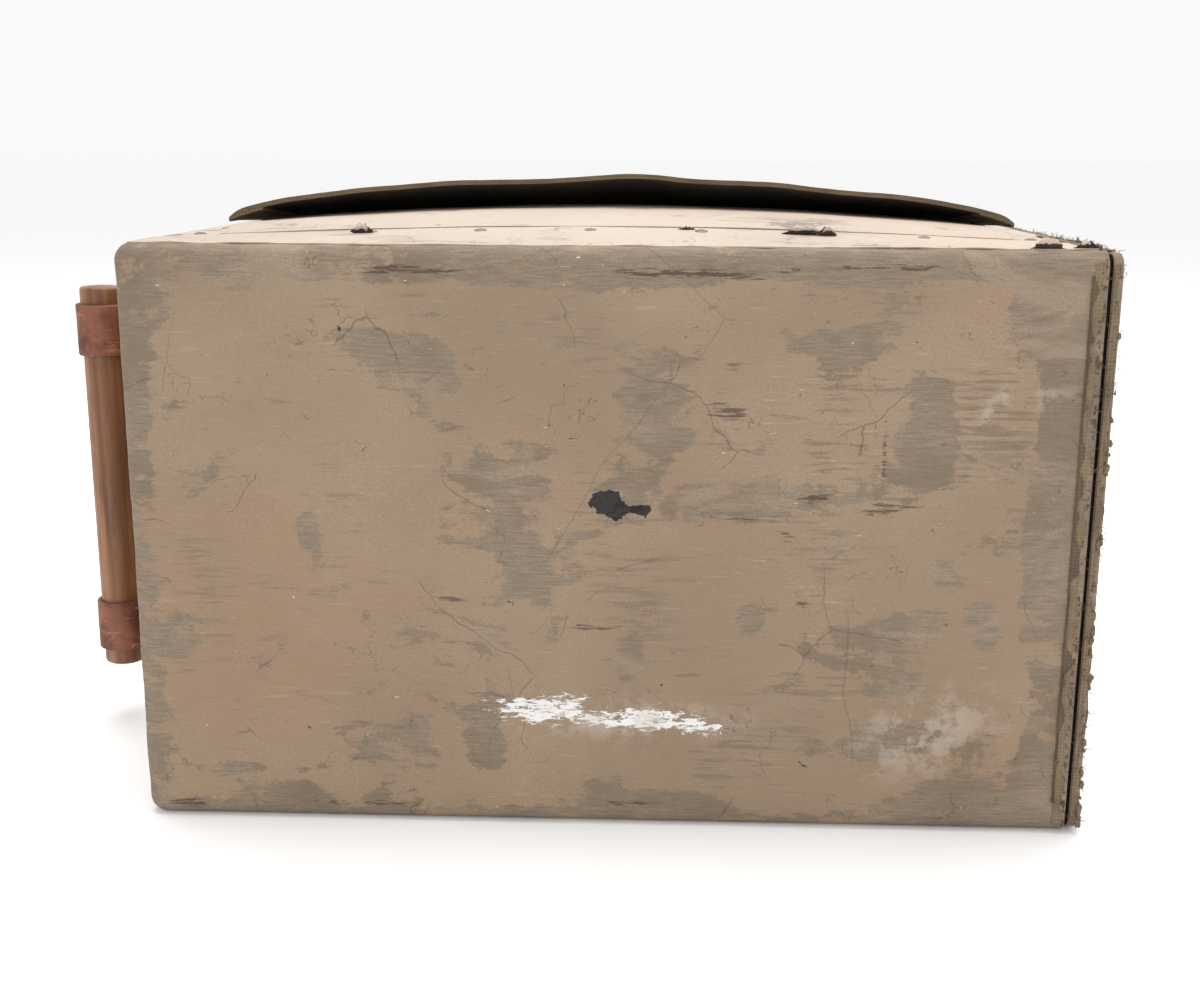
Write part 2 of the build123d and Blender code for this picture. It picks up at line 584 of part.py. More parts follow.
def plate_holder():
    """A wooden dark slide for one glass plate, standing in a rack on the far wall."""
    (x0, x1), (y0, y1), (z0, z1) = HOLDER_X, HOLDER_Y, HOLDER_Z
    body = block(x0, x1, y0, y1, z0, z1)
    body -= block(x0 + 18, x1 - 18, y0 - 1, y0 + 3.4, z0 + 16, z1 - 16)
    slot = block(x0 + 12, x1 - 12, y0 + 3.4, y0 + 5.4, z0 + 10, z1 + 1)
    well = block(x0 + 15, x1 - 15, y0 + 5.4, y0 + 9.0, z0 + 13, z1 - 13)
    save("plate_holder_body", body - slot - well)
    shutter = block(x0 + 12.3, x1 - 12.3, y0 + 3.6, y0 + 5.2, z0 + 10.3, z1 + 1.0)
    pull = block((x0 + x1) / 2 - 12, (x0 + x1) / 2 + 12, y0 + 2.9, y0 + 5.9, z1 + 1.0, z1 + 12)
    save("dark_slide", shutter + pull)
    save("glass_plate", block(x0 + 15.3, x1 - 15.3, y0 + 5.8, y0 + 7.4, z0 + 13.3, z1 - 13.3))
    guides = []
    for x, side in ((x0, -1), (x1, 1)):
        outer = sorted((x + side * FIT, x + side * 10))
        post = block(*outer, y0 - 3, INSIDE_Y, FLOOR + BATTEN, 150)
        lip = block(*sorted((x - side * 5, x + side * 10)), y0 - 4.5, y0 - 0.6, FLOOR + BATTEN, 150)
        guides.append(post + lip)
    save("holder_rack", *guides)


# ---------------------------------------------------------------- small fittings
def tripod_bush():
    """The flanged bush let into the base from inside, with a blind threaded hole for the tripod screw."""
    body = rod_z(BUSH_R - 0.05, 0, FLOOR, 0, 0) + rod_z(BUSH_FLANGE_R, FLOOR, FLOOR + 4.0, 0, 0)
    save("tripod_bush", body - rod_z(THREAD_R, -1, THREAD_DEPTH, 0, 0))


def viewing_port():
    """The port for looking at the ground glass, and the cover that hangs over it."""
    y, z = PORT
    eyepiece = rod_x(30.0, REAR - 3.0, REAR, y, z) - rod_x(PORT_R - 1, REAR - 4, REAR + 1, y, z)
    save("port_ring", eyepiece)
    x1 = REAR - 3.0 - FIT
    cover = rod_x(26.0, x1 - 3.0, x1, y, z)
    cover += block(x1 - 3.0, x1, y - 7, y + 7, z, PORT_PIVOT_Z) + rod_x(7.0, x1 - 3.0, x1, y, PORT_PIVOT_Z)
    cover -= rod_x(2.05, x1 - 4, x1 + 1, y, PORT_PIVOT_Z)
    cover += rod_x(4.0, x1 - 8.0, x1 - 3.0, y, z - 14)
    save("port_cover", cover)
    pivot = rod_x(2.0, x1 - 3.2, REAR, y, PORT_PIVOT_Z) + rod_x(4.5, x1, REAR, y, PORT_PIVOT_Z)
    pivot += Pos(x1 - 3.2, y, PORT_PIVOT_Z) * Rot(0, -90, 0) * dome_head(3.6, 1.4)
    save("port_cover_pivot", pivot)


covering()
walls()
bulkheads()
top_flanges()
far_flange()
flaps()
front_cover()
cover_hinges()
handle()
lens()
stop_and_cap()
carriage()
focusing_screen()
plate_holder()
tripod_bush()
viewing_port()
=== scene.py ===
import math
import random
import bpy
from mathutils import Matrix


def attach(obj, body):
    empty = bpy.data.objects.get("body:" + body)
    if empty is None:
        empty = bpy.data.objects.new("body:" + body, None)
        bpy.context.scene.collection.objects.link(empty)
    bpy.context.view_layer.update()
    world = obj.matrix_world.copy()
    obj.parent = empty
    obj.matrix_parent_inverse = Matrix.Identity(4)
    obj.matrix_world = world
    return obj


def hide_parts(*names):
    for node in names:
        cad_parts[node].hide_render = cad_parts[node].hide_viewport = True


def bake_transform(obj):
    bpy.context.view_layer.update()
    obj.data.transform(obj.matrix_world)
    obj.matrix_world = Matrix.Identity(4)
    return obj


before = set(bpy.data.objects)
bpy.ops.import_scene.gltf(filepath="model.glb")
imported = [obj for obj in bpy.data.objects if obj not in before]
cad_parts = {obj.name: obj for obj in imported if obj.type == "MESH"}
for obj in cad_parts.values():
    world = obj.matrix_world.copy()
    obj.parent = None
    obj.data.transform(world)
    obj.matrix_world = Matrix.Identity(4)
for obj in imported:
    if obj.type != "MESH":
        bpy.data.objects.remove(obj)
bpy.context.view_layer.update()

from types import SimpleNamespace

import bmesh
import bpy
from mathutils import Matrix, Vector, noise

MM = 0.001

# ---- the case, in millimetres, as the CAD has it ----
REAR, MOUTH, FRONT = -280.0, 271.4, 280.0
COVER_BACK = 273.4
HALF_W, HEIGHT, EDGE_R = 171.5, 343.0, 10.0
CROWN, CROWN_POWER, LENGTH = 13.5, 2.6, 560.0
NEAR_FLANGE, FAR_FLANGE = 56.0, 40.0
REAR_FLANGE_X, FRONT_FLANGE_X = -218.0, 198.0
INNER_X, INNER_NEAR, INNER_FAR = 235.0, 57.5, 191.0
TOP_X, TOP_NEAR, TOP_FAR = 250.0, 135.0, 318.0
TOP_RISE, TOP_ARC = 31.8, 258.0
GRIP_X, STAPLE_X, GRIP_R = -350.0, -289.0, 14.0
AXIS_Z = HEIGHT / 2
LOOP_Z = (AXIS_Z - 103.75, AXIS_Z + 103.75)
LOOP_WIDTH = 34.0
THREAD_R, THREAD_STEPS, THREAD_CURL = 0.22, 7, 0.42  # loose fibres of torn canvas


def near(t):
    """The y of a place at a distance t in from the near side."""
    return -HALF_W + t


def crown(x, t):
    """How far the near half of the top rises above its edges."""
    along = min(max((t - EDGE_R) / 160.0, 0.0), 1.0)
    return CROWN * math.cos(math.pi * x / LENGTH) * (1 - (1 - along) ** CROWN_POWER)


def top_flap_underside(x, t):
    """The height of the arched outer flap's lower face when it is shut."""
    along = (TOP_FAR - t) / (TOP_FAR - TOP_NEAR)
    return HEIGHT + 0.6 + TOP_RISE * math.sqrt(max(1 - (x / TOP_ARC) ** 2, 0.0)) * along


# ---- shaders ----
def srgb(r, g, b):
    """A linear colour from 0-255 sRGB values."""
    def linear(v):
        v /= 255.0
        return v / 12.92 if v <= 0.04045 else ((v + 0.055) / 1.055) ** 2.4
    return (linear(r), linear(g), linear(b), 1.0)


def shade(tone, *change):
    """A 0-255 sRGB tone made lighter or darker, as a linear colour."""
    return srgb(*(v + c for v, c in zip(tone, change)))


def part_of(tone, share):
    """A 0-255 sRGB tone darkened to a share of itself, as a linear colour."""
    return srgb(*(int(v * share) for v in tone))


class Shader:
    """Short ways to lay out one material's nodes."""

    def __init__(self, name, roughness=0.8, metallic=0.0):
        self.material = bpy.data.materials.new(name)
        self.material.use_nodes = True
        self.tree = self.material.node_tree
        self.bsdf = self.tree.nodes["Principled BSDF"]
        self.bsdf.inputs["Roughness"].default_value = roughness
        self.bsdf.inputs["Metallic"].default_value = metallic
        self.coords = self.add("ShaderNodeTexCoord").outputs["Object"]
        self.normal = None

    def add(self, kind, inputs=None, **props):
        made = self.tree.nodes.new(kind)
        for key, value in props.items():
            setattr(made, key, value)
        for key, value in (inputs or {}).items():
            self.put(made.inputs[key], value)
        return made

    def put(self, socket, value):
        if isinstance(value, bpy.types.NodeSocket):
            self.tree.links.new(value, socket)
        else:
            socket.default_value = value

    def noise(self, scale, detail=4.0, stretch=(1, 1, 1), rough=0.55, distort=0.0, shift=0.0):
        place = {"Vector": self.coords, "Scale": stretch, "Location": (shift, shift * 0.7, shift * 1.3)}
        settings = {
            "Vector": self.add("ShaderNodeMapping", place).outputs[0],
            "Scale": scale,
            "Detail": detail,
            "Roughness": rough,
            "Distortion": distort,
        }
        return self.add("ShaderNodeTexNoise", settings).outputs["Fac"]

    def math(self, operation, a, b):
        return self.add("ShaderNodeMath", {0: a, 1: b}, operation=operation).outputs[0]

    def scaled(self, value, weight):
        return self.math("MULTIPLY", value, weight)

    def total(self, *terms):
        """The sum of values, each with its weight."""
        result = None
        for value, weight in terms:
            term = value if weight == 1 else self.scaled(value, weight)
            result = term if result is None else self.math("ADD", result, term)
        return result

    def step(self, value, low, high, to_low=0.0, to_high=1.0):
        """A smooth change from to_low to to_high as the value goes from low to high."""
        settings = {"Value": value, "From Min": low, "From Max": high, "To Min": to_low, "To Max": to_high}
        return self.add("ShaderNodeMapRange", settings, interpolation_type="SMOOTHSTEP").outputs[0]

    def mix(self, factor, a, b):
        made = self.add("ShaderNodeMix", data_type="RGBA")
        self.put(made.inputs[0], factor)
        self.put(made.inputs[6], a)
        self.put(made.inputs[7], b)
        return made.outputs[2]

    def attribute(self, name):
        return self.add("ShaderNodeAttribute", attribute_name=name).outputs["Fac"]

    def bump(self, height, distance, strength=1.0):
        inputs = {"Height": height, "Distance": distance, "Strength": strength}
        if self.normal is not None:
            inputs["Normal"] = self.normal
        self.normal = self.add("ShaderNodeBump", inputs).outputs[0]

    def cracks(self, scale, width, shift):
        """Thin wandering lines, broken off where a slow noise is low."""
        bend = self.add("ShaderNodeTexNoise", {"Vector": self.coords, "Scale": scale * 1.6, "Detail": 5.0})
        wander = {0: bend.outputs["Color"], "Scale": 0.035}
        wander = self.add("ShaderNodeVectorMath", wander, operation="SCALE").outputs[0]
        place = self.add("ShaderNodeVectorMath", {0: self.coords, 1: wander}, operation="ADD").outputs[0]
        cells = {"Vector": place, "Scale": scale}
        cells = self.add("ShaderNodeTexVoronoi", cells, feature="DISTANCE_TO_EDGE")
        line = self.step(cells.outputs["Distance"], width, width * 0.3)
        return self.math("MULTIPLY", line, self.step(self.noise(scale * 1.3, 3, shift=shift), 0.56, 0.62))

    def finish(self, color, roughness=None):
        self.put(self.bsdf.inputs["Base Color"], color)
        if roughness is not None:
            self.put(self.bsdf.inputs["Roughness"], roughness)
        if self.normal is not None:
            self.put(self.bsdf.inputs["Normal"], self.normal)
        return self.material


def canvas_patterns(s, streak):
    """The noises that the paint, the bare cloth and the wear share."""
    return SimpleNamespace(
        streaks=s.noise(1.0, 5, streak, 0.6),
        fine=s.noise(420, 3),
        blotch=s.noise(7, 5, distort=0.4),
        ragged=s.noise(34, 9, (0.6, 0.6, 1.2), 0.62, 0.9),
        coarse=s.noise(1.0, 6, tuple(v * 0.33 for v in streak), 0.7, 0.2, 3.1),
        lace=s.noise(130, 6, (0.8, 0.8, 1.0), 0.7, 0.4, 19.0),
        grain=s.noise(1100, 3, (1, 1, 1), 0.75, 0.0, 14.0),
    )


def bare_places(s, p, use_fields):
    """1 where the paint is gone: the mesh's worn places, with small chips and rubbed weave all over."""
    worn = s.attribute("worn") if use_fields else s.scaled(p.blotch, 0.45)
    broad = s.noise(14, 6, shift=15.0, distort=0.5)
    weave = s.noise(1.0, 4, (520, 520, 760), 0.7, 0.0, 13.0)
    edge = s.total((p.ragged, 2.3), (p.coarse, 0.7), (p.lace, 0.8), (broad, 1.5), (weave, 0.5))
    gone = s.step(s.math("ADD", worn, edge), 3.42, 3.62)
    chips = s.step(s.noise(150, 6, (0.45, 0.45, 1.3), 0.7, 1.0, 9.0), 0.645, 0.68)
    rubbed = s.step(s.math("MULTIPLY", p.coarse, s.noise(11, 4, shift=5.0)), 0.31, 0.37)
    return s.math("MAXIMUM", gone, s.scaled(s.math("MAXIMUM", chips, rubbed), 0.8))


def paint_colour(s, p, streak, paint):
    """Matt tan paint, pinker in places, with the weave showing through."""
    tan = s.mix(s.step(p.blotch, 0.35, 0.68), srgb(*paint), shade(paint, -13, -13, -12))
    pinkish = s.step(s.noise(3.1, 3, shift=2.0), 0.45, 0.7)
    tan = s.mix(s.scaled(pinkish, 0.55), tan, shade(paint, 2, -9, -14))
    tan = s.mix(s.step(p.streaks, 0.3, 0.75, 0.0, 0.22), tan, shade(paint, -30, -28, -27))
    tan = s.mix(s.step(p.grain, 0.42, 0.66, 0.0, 0.5), tan, shade(paint, -24, -23, -22))
    tan = s.mix(s.step(p.grain, 0.45, 0.30, 0.0, 0.4), tan, shade(paint, 20, 19, 18))
    pale = s.step(s.noise(1.0, 7, tuple(v * 0.5 for v in streak), 0.72, 0.0, 7.7), 0.60, 0.70)
    return s.mix(s.scaled(pale, 0.35), tan, srgb(187, 165, 140))


def bare_colour(s, p, raw):
    """Grey-brown cloth with no paint left on it."""
    cloth_tone = s.mix(s.step(p.streaks, 0.3, 0.7), srgb(*raw), shade(raw, -30, -29, -27))
    cloth_tone = s.mix(s.step(p.fine, 0.4, 0.7, 0.0, 0.5), cloth_tone, shade(raw, -14, -15, -14))
    soiled = s.step(s.noise(18, 6, shift=21.0), 0.45, 0.65, 0.0, 0.55)
    cloth_tone = s.mix(soiled, cloth_tone, shade(raw, -34, -34, -33))
    pale = s.step(s.noise(26, 7, (0.5, 0.5, 1.4), 0.66, 0.7, 17.0), 0.52, 0.66, 0.0, 0.6)
    cloth_tone = s.mix(pale, cloth_tone, shade(raw, 14, 12, 9))
    return s.mix(s.step(p.grain, 0.44, 0.64, 0.0, 0.5), cloth_tone, shade(raw, -40, -38, -35))


def small_marks(s, color):
    """Cracks, brown specks, pale dots and long light scratches all over."""
    for scale, width, shift, strength, tone in (
        (11, 0.0055, 25.0, 0.6, (88, 70, 57)),
        (27, 0.009, 31.0, 0.6, (92, 74, 60)),
        (5, 0.003, 43.0, 0.3, (80, 64, 52)),
    ):
        color = s.mix(s.scaled(s.cracks(scale, width, shift), strength), color, srgb(*tone))
    specks = s.step(s.noise(95, 7, (0.7, 0.7, 1.1), 0.65, 0.6, 4.0), 0.70, 0.735)
    color = s.mix(s.scaled(specks, 0.75), color, srgb(92, 66, 48))
    dots = s.step(s.noise(240, 2, shift=12.0), 0.775, 0.80)
    color = s.mix(s.scaled(dots, 0.6), color, srgb(205, 196, 180))
    scratch = s.step(s.noise(1.0, 8, (9, 9, 330), 0.75, 0.35, 6.0), 0.665, 0.69)
    return s.mix(s.scaled(scratch, 0.5), color, srgb(108, 84, 66))


def placed_marks(s, p, color):
    """Dark scrapes, ink, chalk and a pale bloom where the mesh's fields put them."""
    strands = s.noise(1.0, 7, (60, 60, 620), 0.72, 0.6, 18.0)
    scrape = s.total((s.attribute("dark"), 0.6), (strands, 2.0))
    color = s.mix(s.step(scrape, 1.40, 1.54, 0.0, 0.85), color, srgb(72, 58, 47))
    ink = s.total((s.attribute("ink"), 1), (s.noise(90, 5, shift=2.6, distort=0.6), 2.0))
    color = s.mix(s.step(ink, 1.45, 1.52), color, srgb(30, 25, 22))
    dashes = s.noise(1.0, 6, (150, 150, 560), 0.7, 0.5, 1.7)
    chalk = s.total((s.attribute("chalk"), 0.62), (dashes, 2.0), (p.lace, 0.7))
    color = s.mix(s.step(chalk, 1.74, 1.90), color, srgb(224, 222, 220))
    bloom = s.step(s.noise(60, 7, rough=0.7, shift=9.5), 0.46, 0.6)
    haze = s.math("MULTIPLY", s.attribute("haze"), bloom)
    return s.mix(s.scaled(haze, 0.42), color, srgb(190, 180, 168))


def painted_canvas(name, streak=(70, 70, 900), paint=(150, 129, 106), raw=(144, 129, 112), use_fields=True):
    """Tan paint over grey-brown canvas, worn through where the mesh's fields say so."""
    s = Shader(name, roughness=0.7)
    p = canvas_patterns(s, streak)
    gone = bare_places(s, p, use_fields)
    color = s.mix(s.scaled(gone, 0.93), paint_colour(s, p, streak, paint), bare_colour(s, p, raw))
    color = small_marks(s, color)
    if use_fields:
        color = placed_marks(s, p, color)
    s.bump(gone, 0.0003, -0.8)
    s.bump(p.streaks, 0.0003, 0.45)
    s.bump(p.grain, 0.00025, 0.6)
    s.bump(p.blotch, 0.002, 0.25)
    return s.finish(color, s.step(gone, 0.0, 1.0, 0.66, 0.93))


def leather(name, tone, dark, light, scale=260, shine=(0.5, 0.75)):
    """Grained, clouded leather or fibre with scuffs and fine cracks."""
    s = Shader(name, roughness=0.6)
    grain = s.add("ShaderNodeTexVoronoi", {"Vector": s.coords, "Scale": scale}).outputs["Distance"]
    cloud = s.noise(38, 6, rough=0.65)
    color = s.mix(s.step(cloud, 0.38, 0.62), srgb(*tone), srgb(*dark))
    scuff = s.step(s.noise(70, 8, (1, 1, 2.2), 0.7, 0.8, 3.0), 0.55, 0.68)
    color = s.mix(s.scaled(scuff, 0.8), color, srgb(*light))
    crack = s.step(s.noise(130, 6, (0.5, 0.5, 2.4), 0.7, 1.2, 8.0), 0.62, 0.67)
    color = s.mix(s.scaled(crack, 0.7), color, part_of(dark, 0.5))
    s.bump(grain, 0.0003, 0.6)
    s.bump(cloud, 0.0008, 0.5)
    s.bump(crack, 0.0003, -0.6)
    return s.finish(color, s.step(cloud, 0.3, 0.7, *shine))


def wood(name, light, dark, along, roughness):
    """Straight-grained wood, its grain along one axis of the row frame."""
    stretch = tuple(0.05 if axis == along else 1.0 for axis in range(3))
    s = Shader(name, roughness=roughness)
    warp = s.noise(55, 3, stretch, 0.5, 1.2)
    rings = s.noise(247.5, 3, stretch, 0.5, 0.6, 2.0)
    pores = s.noise(900, 2, stretch, 0.6, 0.0, 4.0)
    mottle = s.noise(22, 5, shift=6.0)
    color = s.mix(s.step(warp, 0.3, 0.7), srgb(*light), srgb(*dark))
    color = s.mix(s.step(rings, 0.45, 0.75, 0.0, 0.6), color, part_of(dark, 0.72))
    color = s.mix(s.step(pores, 0.6, 0.75, 0.0, 0.55), color, part_of(dark, 0.5))
    color = s.mix(s.step(mottle, 0.5, 0.75, 0.0, 0.4), color, part_of(dark, 0.45))
    s.bump(pores, 0.0002, 0.6)
    s.bump(rings, 0.0003, 0.4)
    return s.finish(color, s.step(mottle, 0.3, 0.7, roughness - 0.08, roughness + 0.12))


def metal(name, tone, tarnish, roughness, metallic=1.0, amount=0.5):
    """Dull metal, tarnished over a given amount of its surface, with fine pits."""
    s = Shader(name, roughness=roughness, metallic=metallic)
    cloud = s.noise(60, 7, rough=0.6)
    pits = s.step(s.noise(420, 5, shift=3.0), 0.6, 0.72)
    lines = s.noise(1.0, 3, (60, 900, 60))
    color = s.mix(s.step(cloud, 0.62 - 0.3 * amount, 0.72), srgb(*tone), srgb(*tarnish))
    color = s.mix(s.scaled(pits, 0.5), color, part_of(tarnish, 0.6))
    s.bump(pits, 0.0001, -0.5)
    s.bump(lines, 0.00005, 0.3)
    return s.finish(color, s.step(cloud, 0.35, 0.7, roughness, roughness + 0.25))


def cloth(name, tone, dark):
    """A close plain weave, with bands along all three axes so that it shows on any face."""
    s = Shader(name, roughness=0.95)
    bands = {"Vector": s.coords, "Scale": 143.312, "Distortion": 5.0, "Detail": 3.0, "Detail Scale": 60.0}
    x, y, z = (s.add("ShaderNodeTexWave", bands, bands_direction=way).outputs["Fac"] for way in "XYZ")
    weave = s.math("MAXIMUM", s.math("MULTIPLY", x, y), s.math("MULTIPLY", y, z))
    weave = s.math("MAXIMUM", weave, s.math("MULTIPLY", x, z))
    cloud = s.noise(30, 6)
    color = s.mix(s.step(weave, 0.0, 0.8, 0.35, 1.0), srgb(*dark), srgb(*tone))
    color = s.mix(s.step(cloud, 0.45, 0.7, 0.0, 0.6), color, srgb(*dark))
    s.bump(weave, 0.0003, 0.6)
    s.bump(cloud, 0.0015, 0.4)
    return s.finish(color)


def glass(name, tone, roughness, transmission):
    """Slightly smeared glass."""
    s = Shader(name, roughness=roughness)
    s.bsdf.inputs["Transmission Weight"].default_value = transmission
    s.bsdf.inputs["IOR"].default_value = 1.5
    smear = s.noise(30, 5)
    color = s.mix(s.step(smear, 0.4, 0.7, 0.0, 0.5), srgb(*tone), part_of(tone, 0.93))
    return s.finish(color, s.step(smear, 0.35, 0.75, roughness, roughness + 0.06))


CANVAS = painted_canvas("canvas_painted")
# The top's canvas is the sides' paint and cloth made lighter, a painted highlight that stands in for the
# light from above on every top face: the top strips, both flaps and the curls.
CANVAS_TOP_PAINTED_LIGHT = painted_canvas("top_canvas_painted_light", (70, 900, 900), (186, 172, 157), (161, 147, 132), False)
RAW_CANVAS = cloth("canvas_raw", (140, 122, 96), (96, 80, 62))
FRAY = cloth("canvas_fray", (112, 96, 76), (70, 58, 46))
# The outer flap's underside, and the underside and rim of the torn curls: a dark brown whose darkness is
# partly painted shade, the shade under the flap and the curls put into the colour.
FLAP_LINING_WITH_PAINTED_SHADE = leather("flap_underside", (58, 48, 37), (42, 34, 26), (74, 61, 47), 700, (0.88, 0.98))
FLAP_EDGE = cloth("flap_edge", (126, 108, 84), (84, 70, 53))
PANEL_EDGE = cloth("panel_edge", (196, 178, 154), (150, 132, 110))
LOOP_LEATHER = leather("loop_leather", (128, 74, 50), (88, 48, 32), (176, 120, 86))
HINGE_LEATHER = leather("hinge_leather", (150, 126, 100), (112, 92, 72), (184, 160, 132))
GRIP_WOOD = wood("grip_wood", (150, 104, 66), (104, 66, 38), 2, 0.5)
PINE = wood("pine", (176, 142, 102), (142, 108, 72), 0, 0.7)
MAHOGANY = wood("mahogany", (112, 58, 34), (72, 34, 20), 2, 0.38)
BLACKENED = wood("blackened_wood", (58, 48, 40), (34, 28, 24), 1, 0.62)
RIVET = metal("rivet_metal", (112, 98, 100), (70, 56, 54), 0.5, 0.7)
STEEL = metal("steel_dull", (128, 124, 120), (84, 66, 52), 0.4)
BRASS = metal("brass_aged", (160, 130, 78), (92, 72, 44), 0.34, 1.0, 0.75)
LENS_GLASS = glass("lens_glass", (236, 242, 240), 0.02, 1.0)
GROUND_GLASS = glass("ground_glass", (222, 230, 226), 0.55, 0.7)
DARK_FIBRE = leather("dark_fibre", (30, 27, 25), (18, 16, 15), (52, 47, 43), 700)
LINING = cloth("black_lining", (34, 31, 29), (14, 13, 12))

CAD_LOOKS = {
    PINE: "base_board near_side_board far_side_board corner_battens holder_rack",
    BLACKENED: "lens_bulkhead mouth_frame rear_end_board front_cover_board",
    MAHOGANY: "lens_board sledge_boards plate_frame screen_frame focusing_knob plate_holder_body "
              "focusing_runners",
    RIVET: "top_flange_rivets top_flap_hinge_tacks front_cover_tacks handle_loop_rivets lens_screws",
    STEEL: "cover_hinge_case_leaves cover_hinge_cover_leaves handle_staples focusing_rod screen_pivot_pins "
           "tripod_bush waterhouse_stop",
    BRASS: "lens_flange lens_barrel retaining_rings rod_bushing port_ring port_cover_pivot port_cover "
           "rod_bracket screen_pivot_brackets turn_button_post screen_turn_button",
    LENS_GLASS: "lens_elements",
    GROUND_GLASS: "ground_glass glass_plate",
    DARK_FIBRE: "dark_slide lens_cap",
    LINING: "front_cover_lining",
    LOOP_LEATHER: "front_cover_pull",
    FLAP_EDGE: "top_flap_hems",
}
for look, nodes in CAD_LOOKS.items():
    for node in nodes.split():
        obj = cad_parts[node]
        obj.data.materials.clear()
        obj.data.materials.append(look)


# ---- mesh tools ----
def wobble(x, y, z, scale, seed=0.0):
    """Smooth noise from -1 to 1; x, y and z in millimetres, scale in features per millimetre."""
    return noise.noise(Vector((x * scale + seed, y * scale - seed * 0.7, z * scale + seed * 1.7)))


def rough_noise(x, y, z, scale, seed=0.0, octaves=4):
    """Several layers of wobble, each finer and weaker than the last."""
    total, weight = 0.0, 1.0
    for i in range(octaves):
        total += weight * wobble(x, y, z, scale * 2 ** i, seed + 11.0 * i)
        weight *= 0.55
    return total


def make(name, verts, faces, looks, body=None, face_looks=None):
    """A mesh object from millimetre points."""
    mesh = bpy.data.meshes.new(name)
    mesh.from_pydata([(x * MM, y * MM, z * MM) for x, y, z in verts], [], faces)
    for look in looks:
        mesh.materials.append(look)
    if face_looks:
        mesh.polygons.foreach_set("material_index", face_looks)
    mesh.validate()
    mesh.polygons.foreach_set("use_smooth", [True] * len(mesh.polygons))
    mesh.update()
    obj = bpy.data.objects.new(name, mesh)
    bpy.context.scene.collection.objects.link(obj)
    if body:
        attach(obj, body)
    return obj


def sharpen(obj, degrees=38):
    """Keeps corners crisp on a smooth-shaded mesh."""
    mesh = obj.data
    limit = math.cos(math.radians(degrees))
    by_edge = {}
    for polygon in mesh.polygons:
        for key in polygon.edge_keys:
            by_edge.setdefault(key, []).append(polygon.normal.copy())
    sharp = mesh.attributes.get("sharp_edge") or mesh.attributes.new("sharp_edge", "BOOLEAN", "EDGE")
    for edge in mesh.edges:
        normals = by_edge.get(tuple(sorted(edge.vertices)), [])
        if len(normals) == 2 and normals[0].dot(normals[1]) < limit:
            sharp.data[edge.index].value = True
    return obj


def ticks(low, high, step, fine_low=0.0, fine_high=0.0, fine=2.0):
    """Places from low to high, closer together within a band at either end."""
    places = [low]
    while places[-1] < high - 1e-6:
        at = places[-1]
        size = fine if at < low + fine_low - 1e-6 or at >= high - fine_high - 1e-6 else step
        limit = high - fine_high if at < high - fine_high - 1e-6 else high
        places.append(min(at + size, limit))
    return places


def sheet_faces(columns, rows):
    """Faces of a closed sheet of two grids, upper then lower: each with 0 for upper, 1 lower, 2 rim."""
    base = columns * rows
    faces, sides = [], []
    for i in range(columns - 1):
        for j in range(rows - 1):
            a, b = i * rows + j, (i + 1) * rows + j
            faces.append((a, b, b + 1, a + 1))
            faces.append((base + a + 1, base + b + 1, base + b, base + a))
            sides += [0, 1]
    rim = [i * rows for i in range(columns)]
    rim += [(columns - 1) * rows + j for j in range(1, rows)]
    rim += [i * rows + rows - 1 for i in range(columns - 2, -1, -1)]
    rim += [j for j in range(rows - 2, 0, -1)]
    for a, b in zip(rim, rim[1:] + rim[:1]):
        faces.append((b, a, base + a, base + b))
        sides.append(2)
    return faces, sides


def slab(name, us, vs, top, thickness, looks, body):
    """A closed curved sheet over a grid: top(u, v) gives the upper point, thickness(u, v) its depth.

    looks are the materials of the upper face, the underside and the rim, or one for all three.
    """
    upper = [top(u, v) for u in us for v in vs]
    depths = [thickness(u, v) for u in us for v in vs]
    lower = [(x, y, z - depth) for (x, y, z), depth in zip(upper, depths)]
    faces, sides = sheet_faces(len(us), len(vs))
    kinds = sides if len(looks) == 3 else [0] * len(sides)
    return sharpen(make(name, upper + lower, faces, looks, body, kinds))


def above_floor(x, y, z):
    """A point lifted clear of the surface that the case stands on."""
    return x, y, max(z, 0.4)


def tube_rings(path, radius, sides):
    """Vertices and faces of a closed tube along millimetre points; radius(k) for k from 0 to 1."""
    verts, faces = [], []
    count = len(path)
    for i, point in enumerate(path):
        ahead = Vector(path[min(i + 1, count - 1)]) - Vector(path[max(i - 1, 0)])
        ahead = ahead.normalized() if ahead.length > 1e-9 else Vector((1, 0, 0))
        side = ahead.cross(Vector((0.31, 0.17, 0.93)))
        side = side.normalized() if side.length > 1e-6 else Vector((0, 1, 0))
        other = ahead.cross(side)
        r = radius(i / (count - 1))
        for k in range(sides):
            angle = 2 * math.pi * k / sides
            verts.append(tuple(Vector(point) + (side * math.cos(angle) + other * math.sin(angle)) * r))
    for i in range(count - 1):
        for k in range(sides):
            a, b = i * sides + k, i * sides + (k + 1) % sides
            faces.append((a, b, b + sides, a + sides))
    faces.append(tuple(range(sides - 1, -1, -1)))
    faces.append(tuple(range((count - 1) * sides, count * sides)))
    return verts, faces


def threads(name, starts, body, seed, length):
    """Loose fibres that stand out of a torn edge. starts: (point, direction) in millimetres."""
    rng = random.Random(seed)
    verts, faces = [], []
    for point, direction in starts:
        at, way = Vector(point), Vector(direction).normalized()
        size = rng.uniform(*length) / THREAD_STEPS
        path = [tuple(at)]
        for _ in range(THREAD_STEPS):
            turn = Vector((rng.gauss(0, THREAD_CURL), rng.gauss(0, THREAD_CURL), rng.gauss(0, THREAD_CURL)))
            way = (way + turn).normalized()
            at = Vector(above_floor(*(at + way * size)))
            path.append(tuple(at))
        more, sides = tube_rings(path, lambda k: THREAD_R * (1.05 - 0.75 * k), 4)
        base = len(verts)
        verts += more
        faces += [tuple(base + i for i in face) for face in sides]
    return make(name, verts, faces, [FRAY], body)


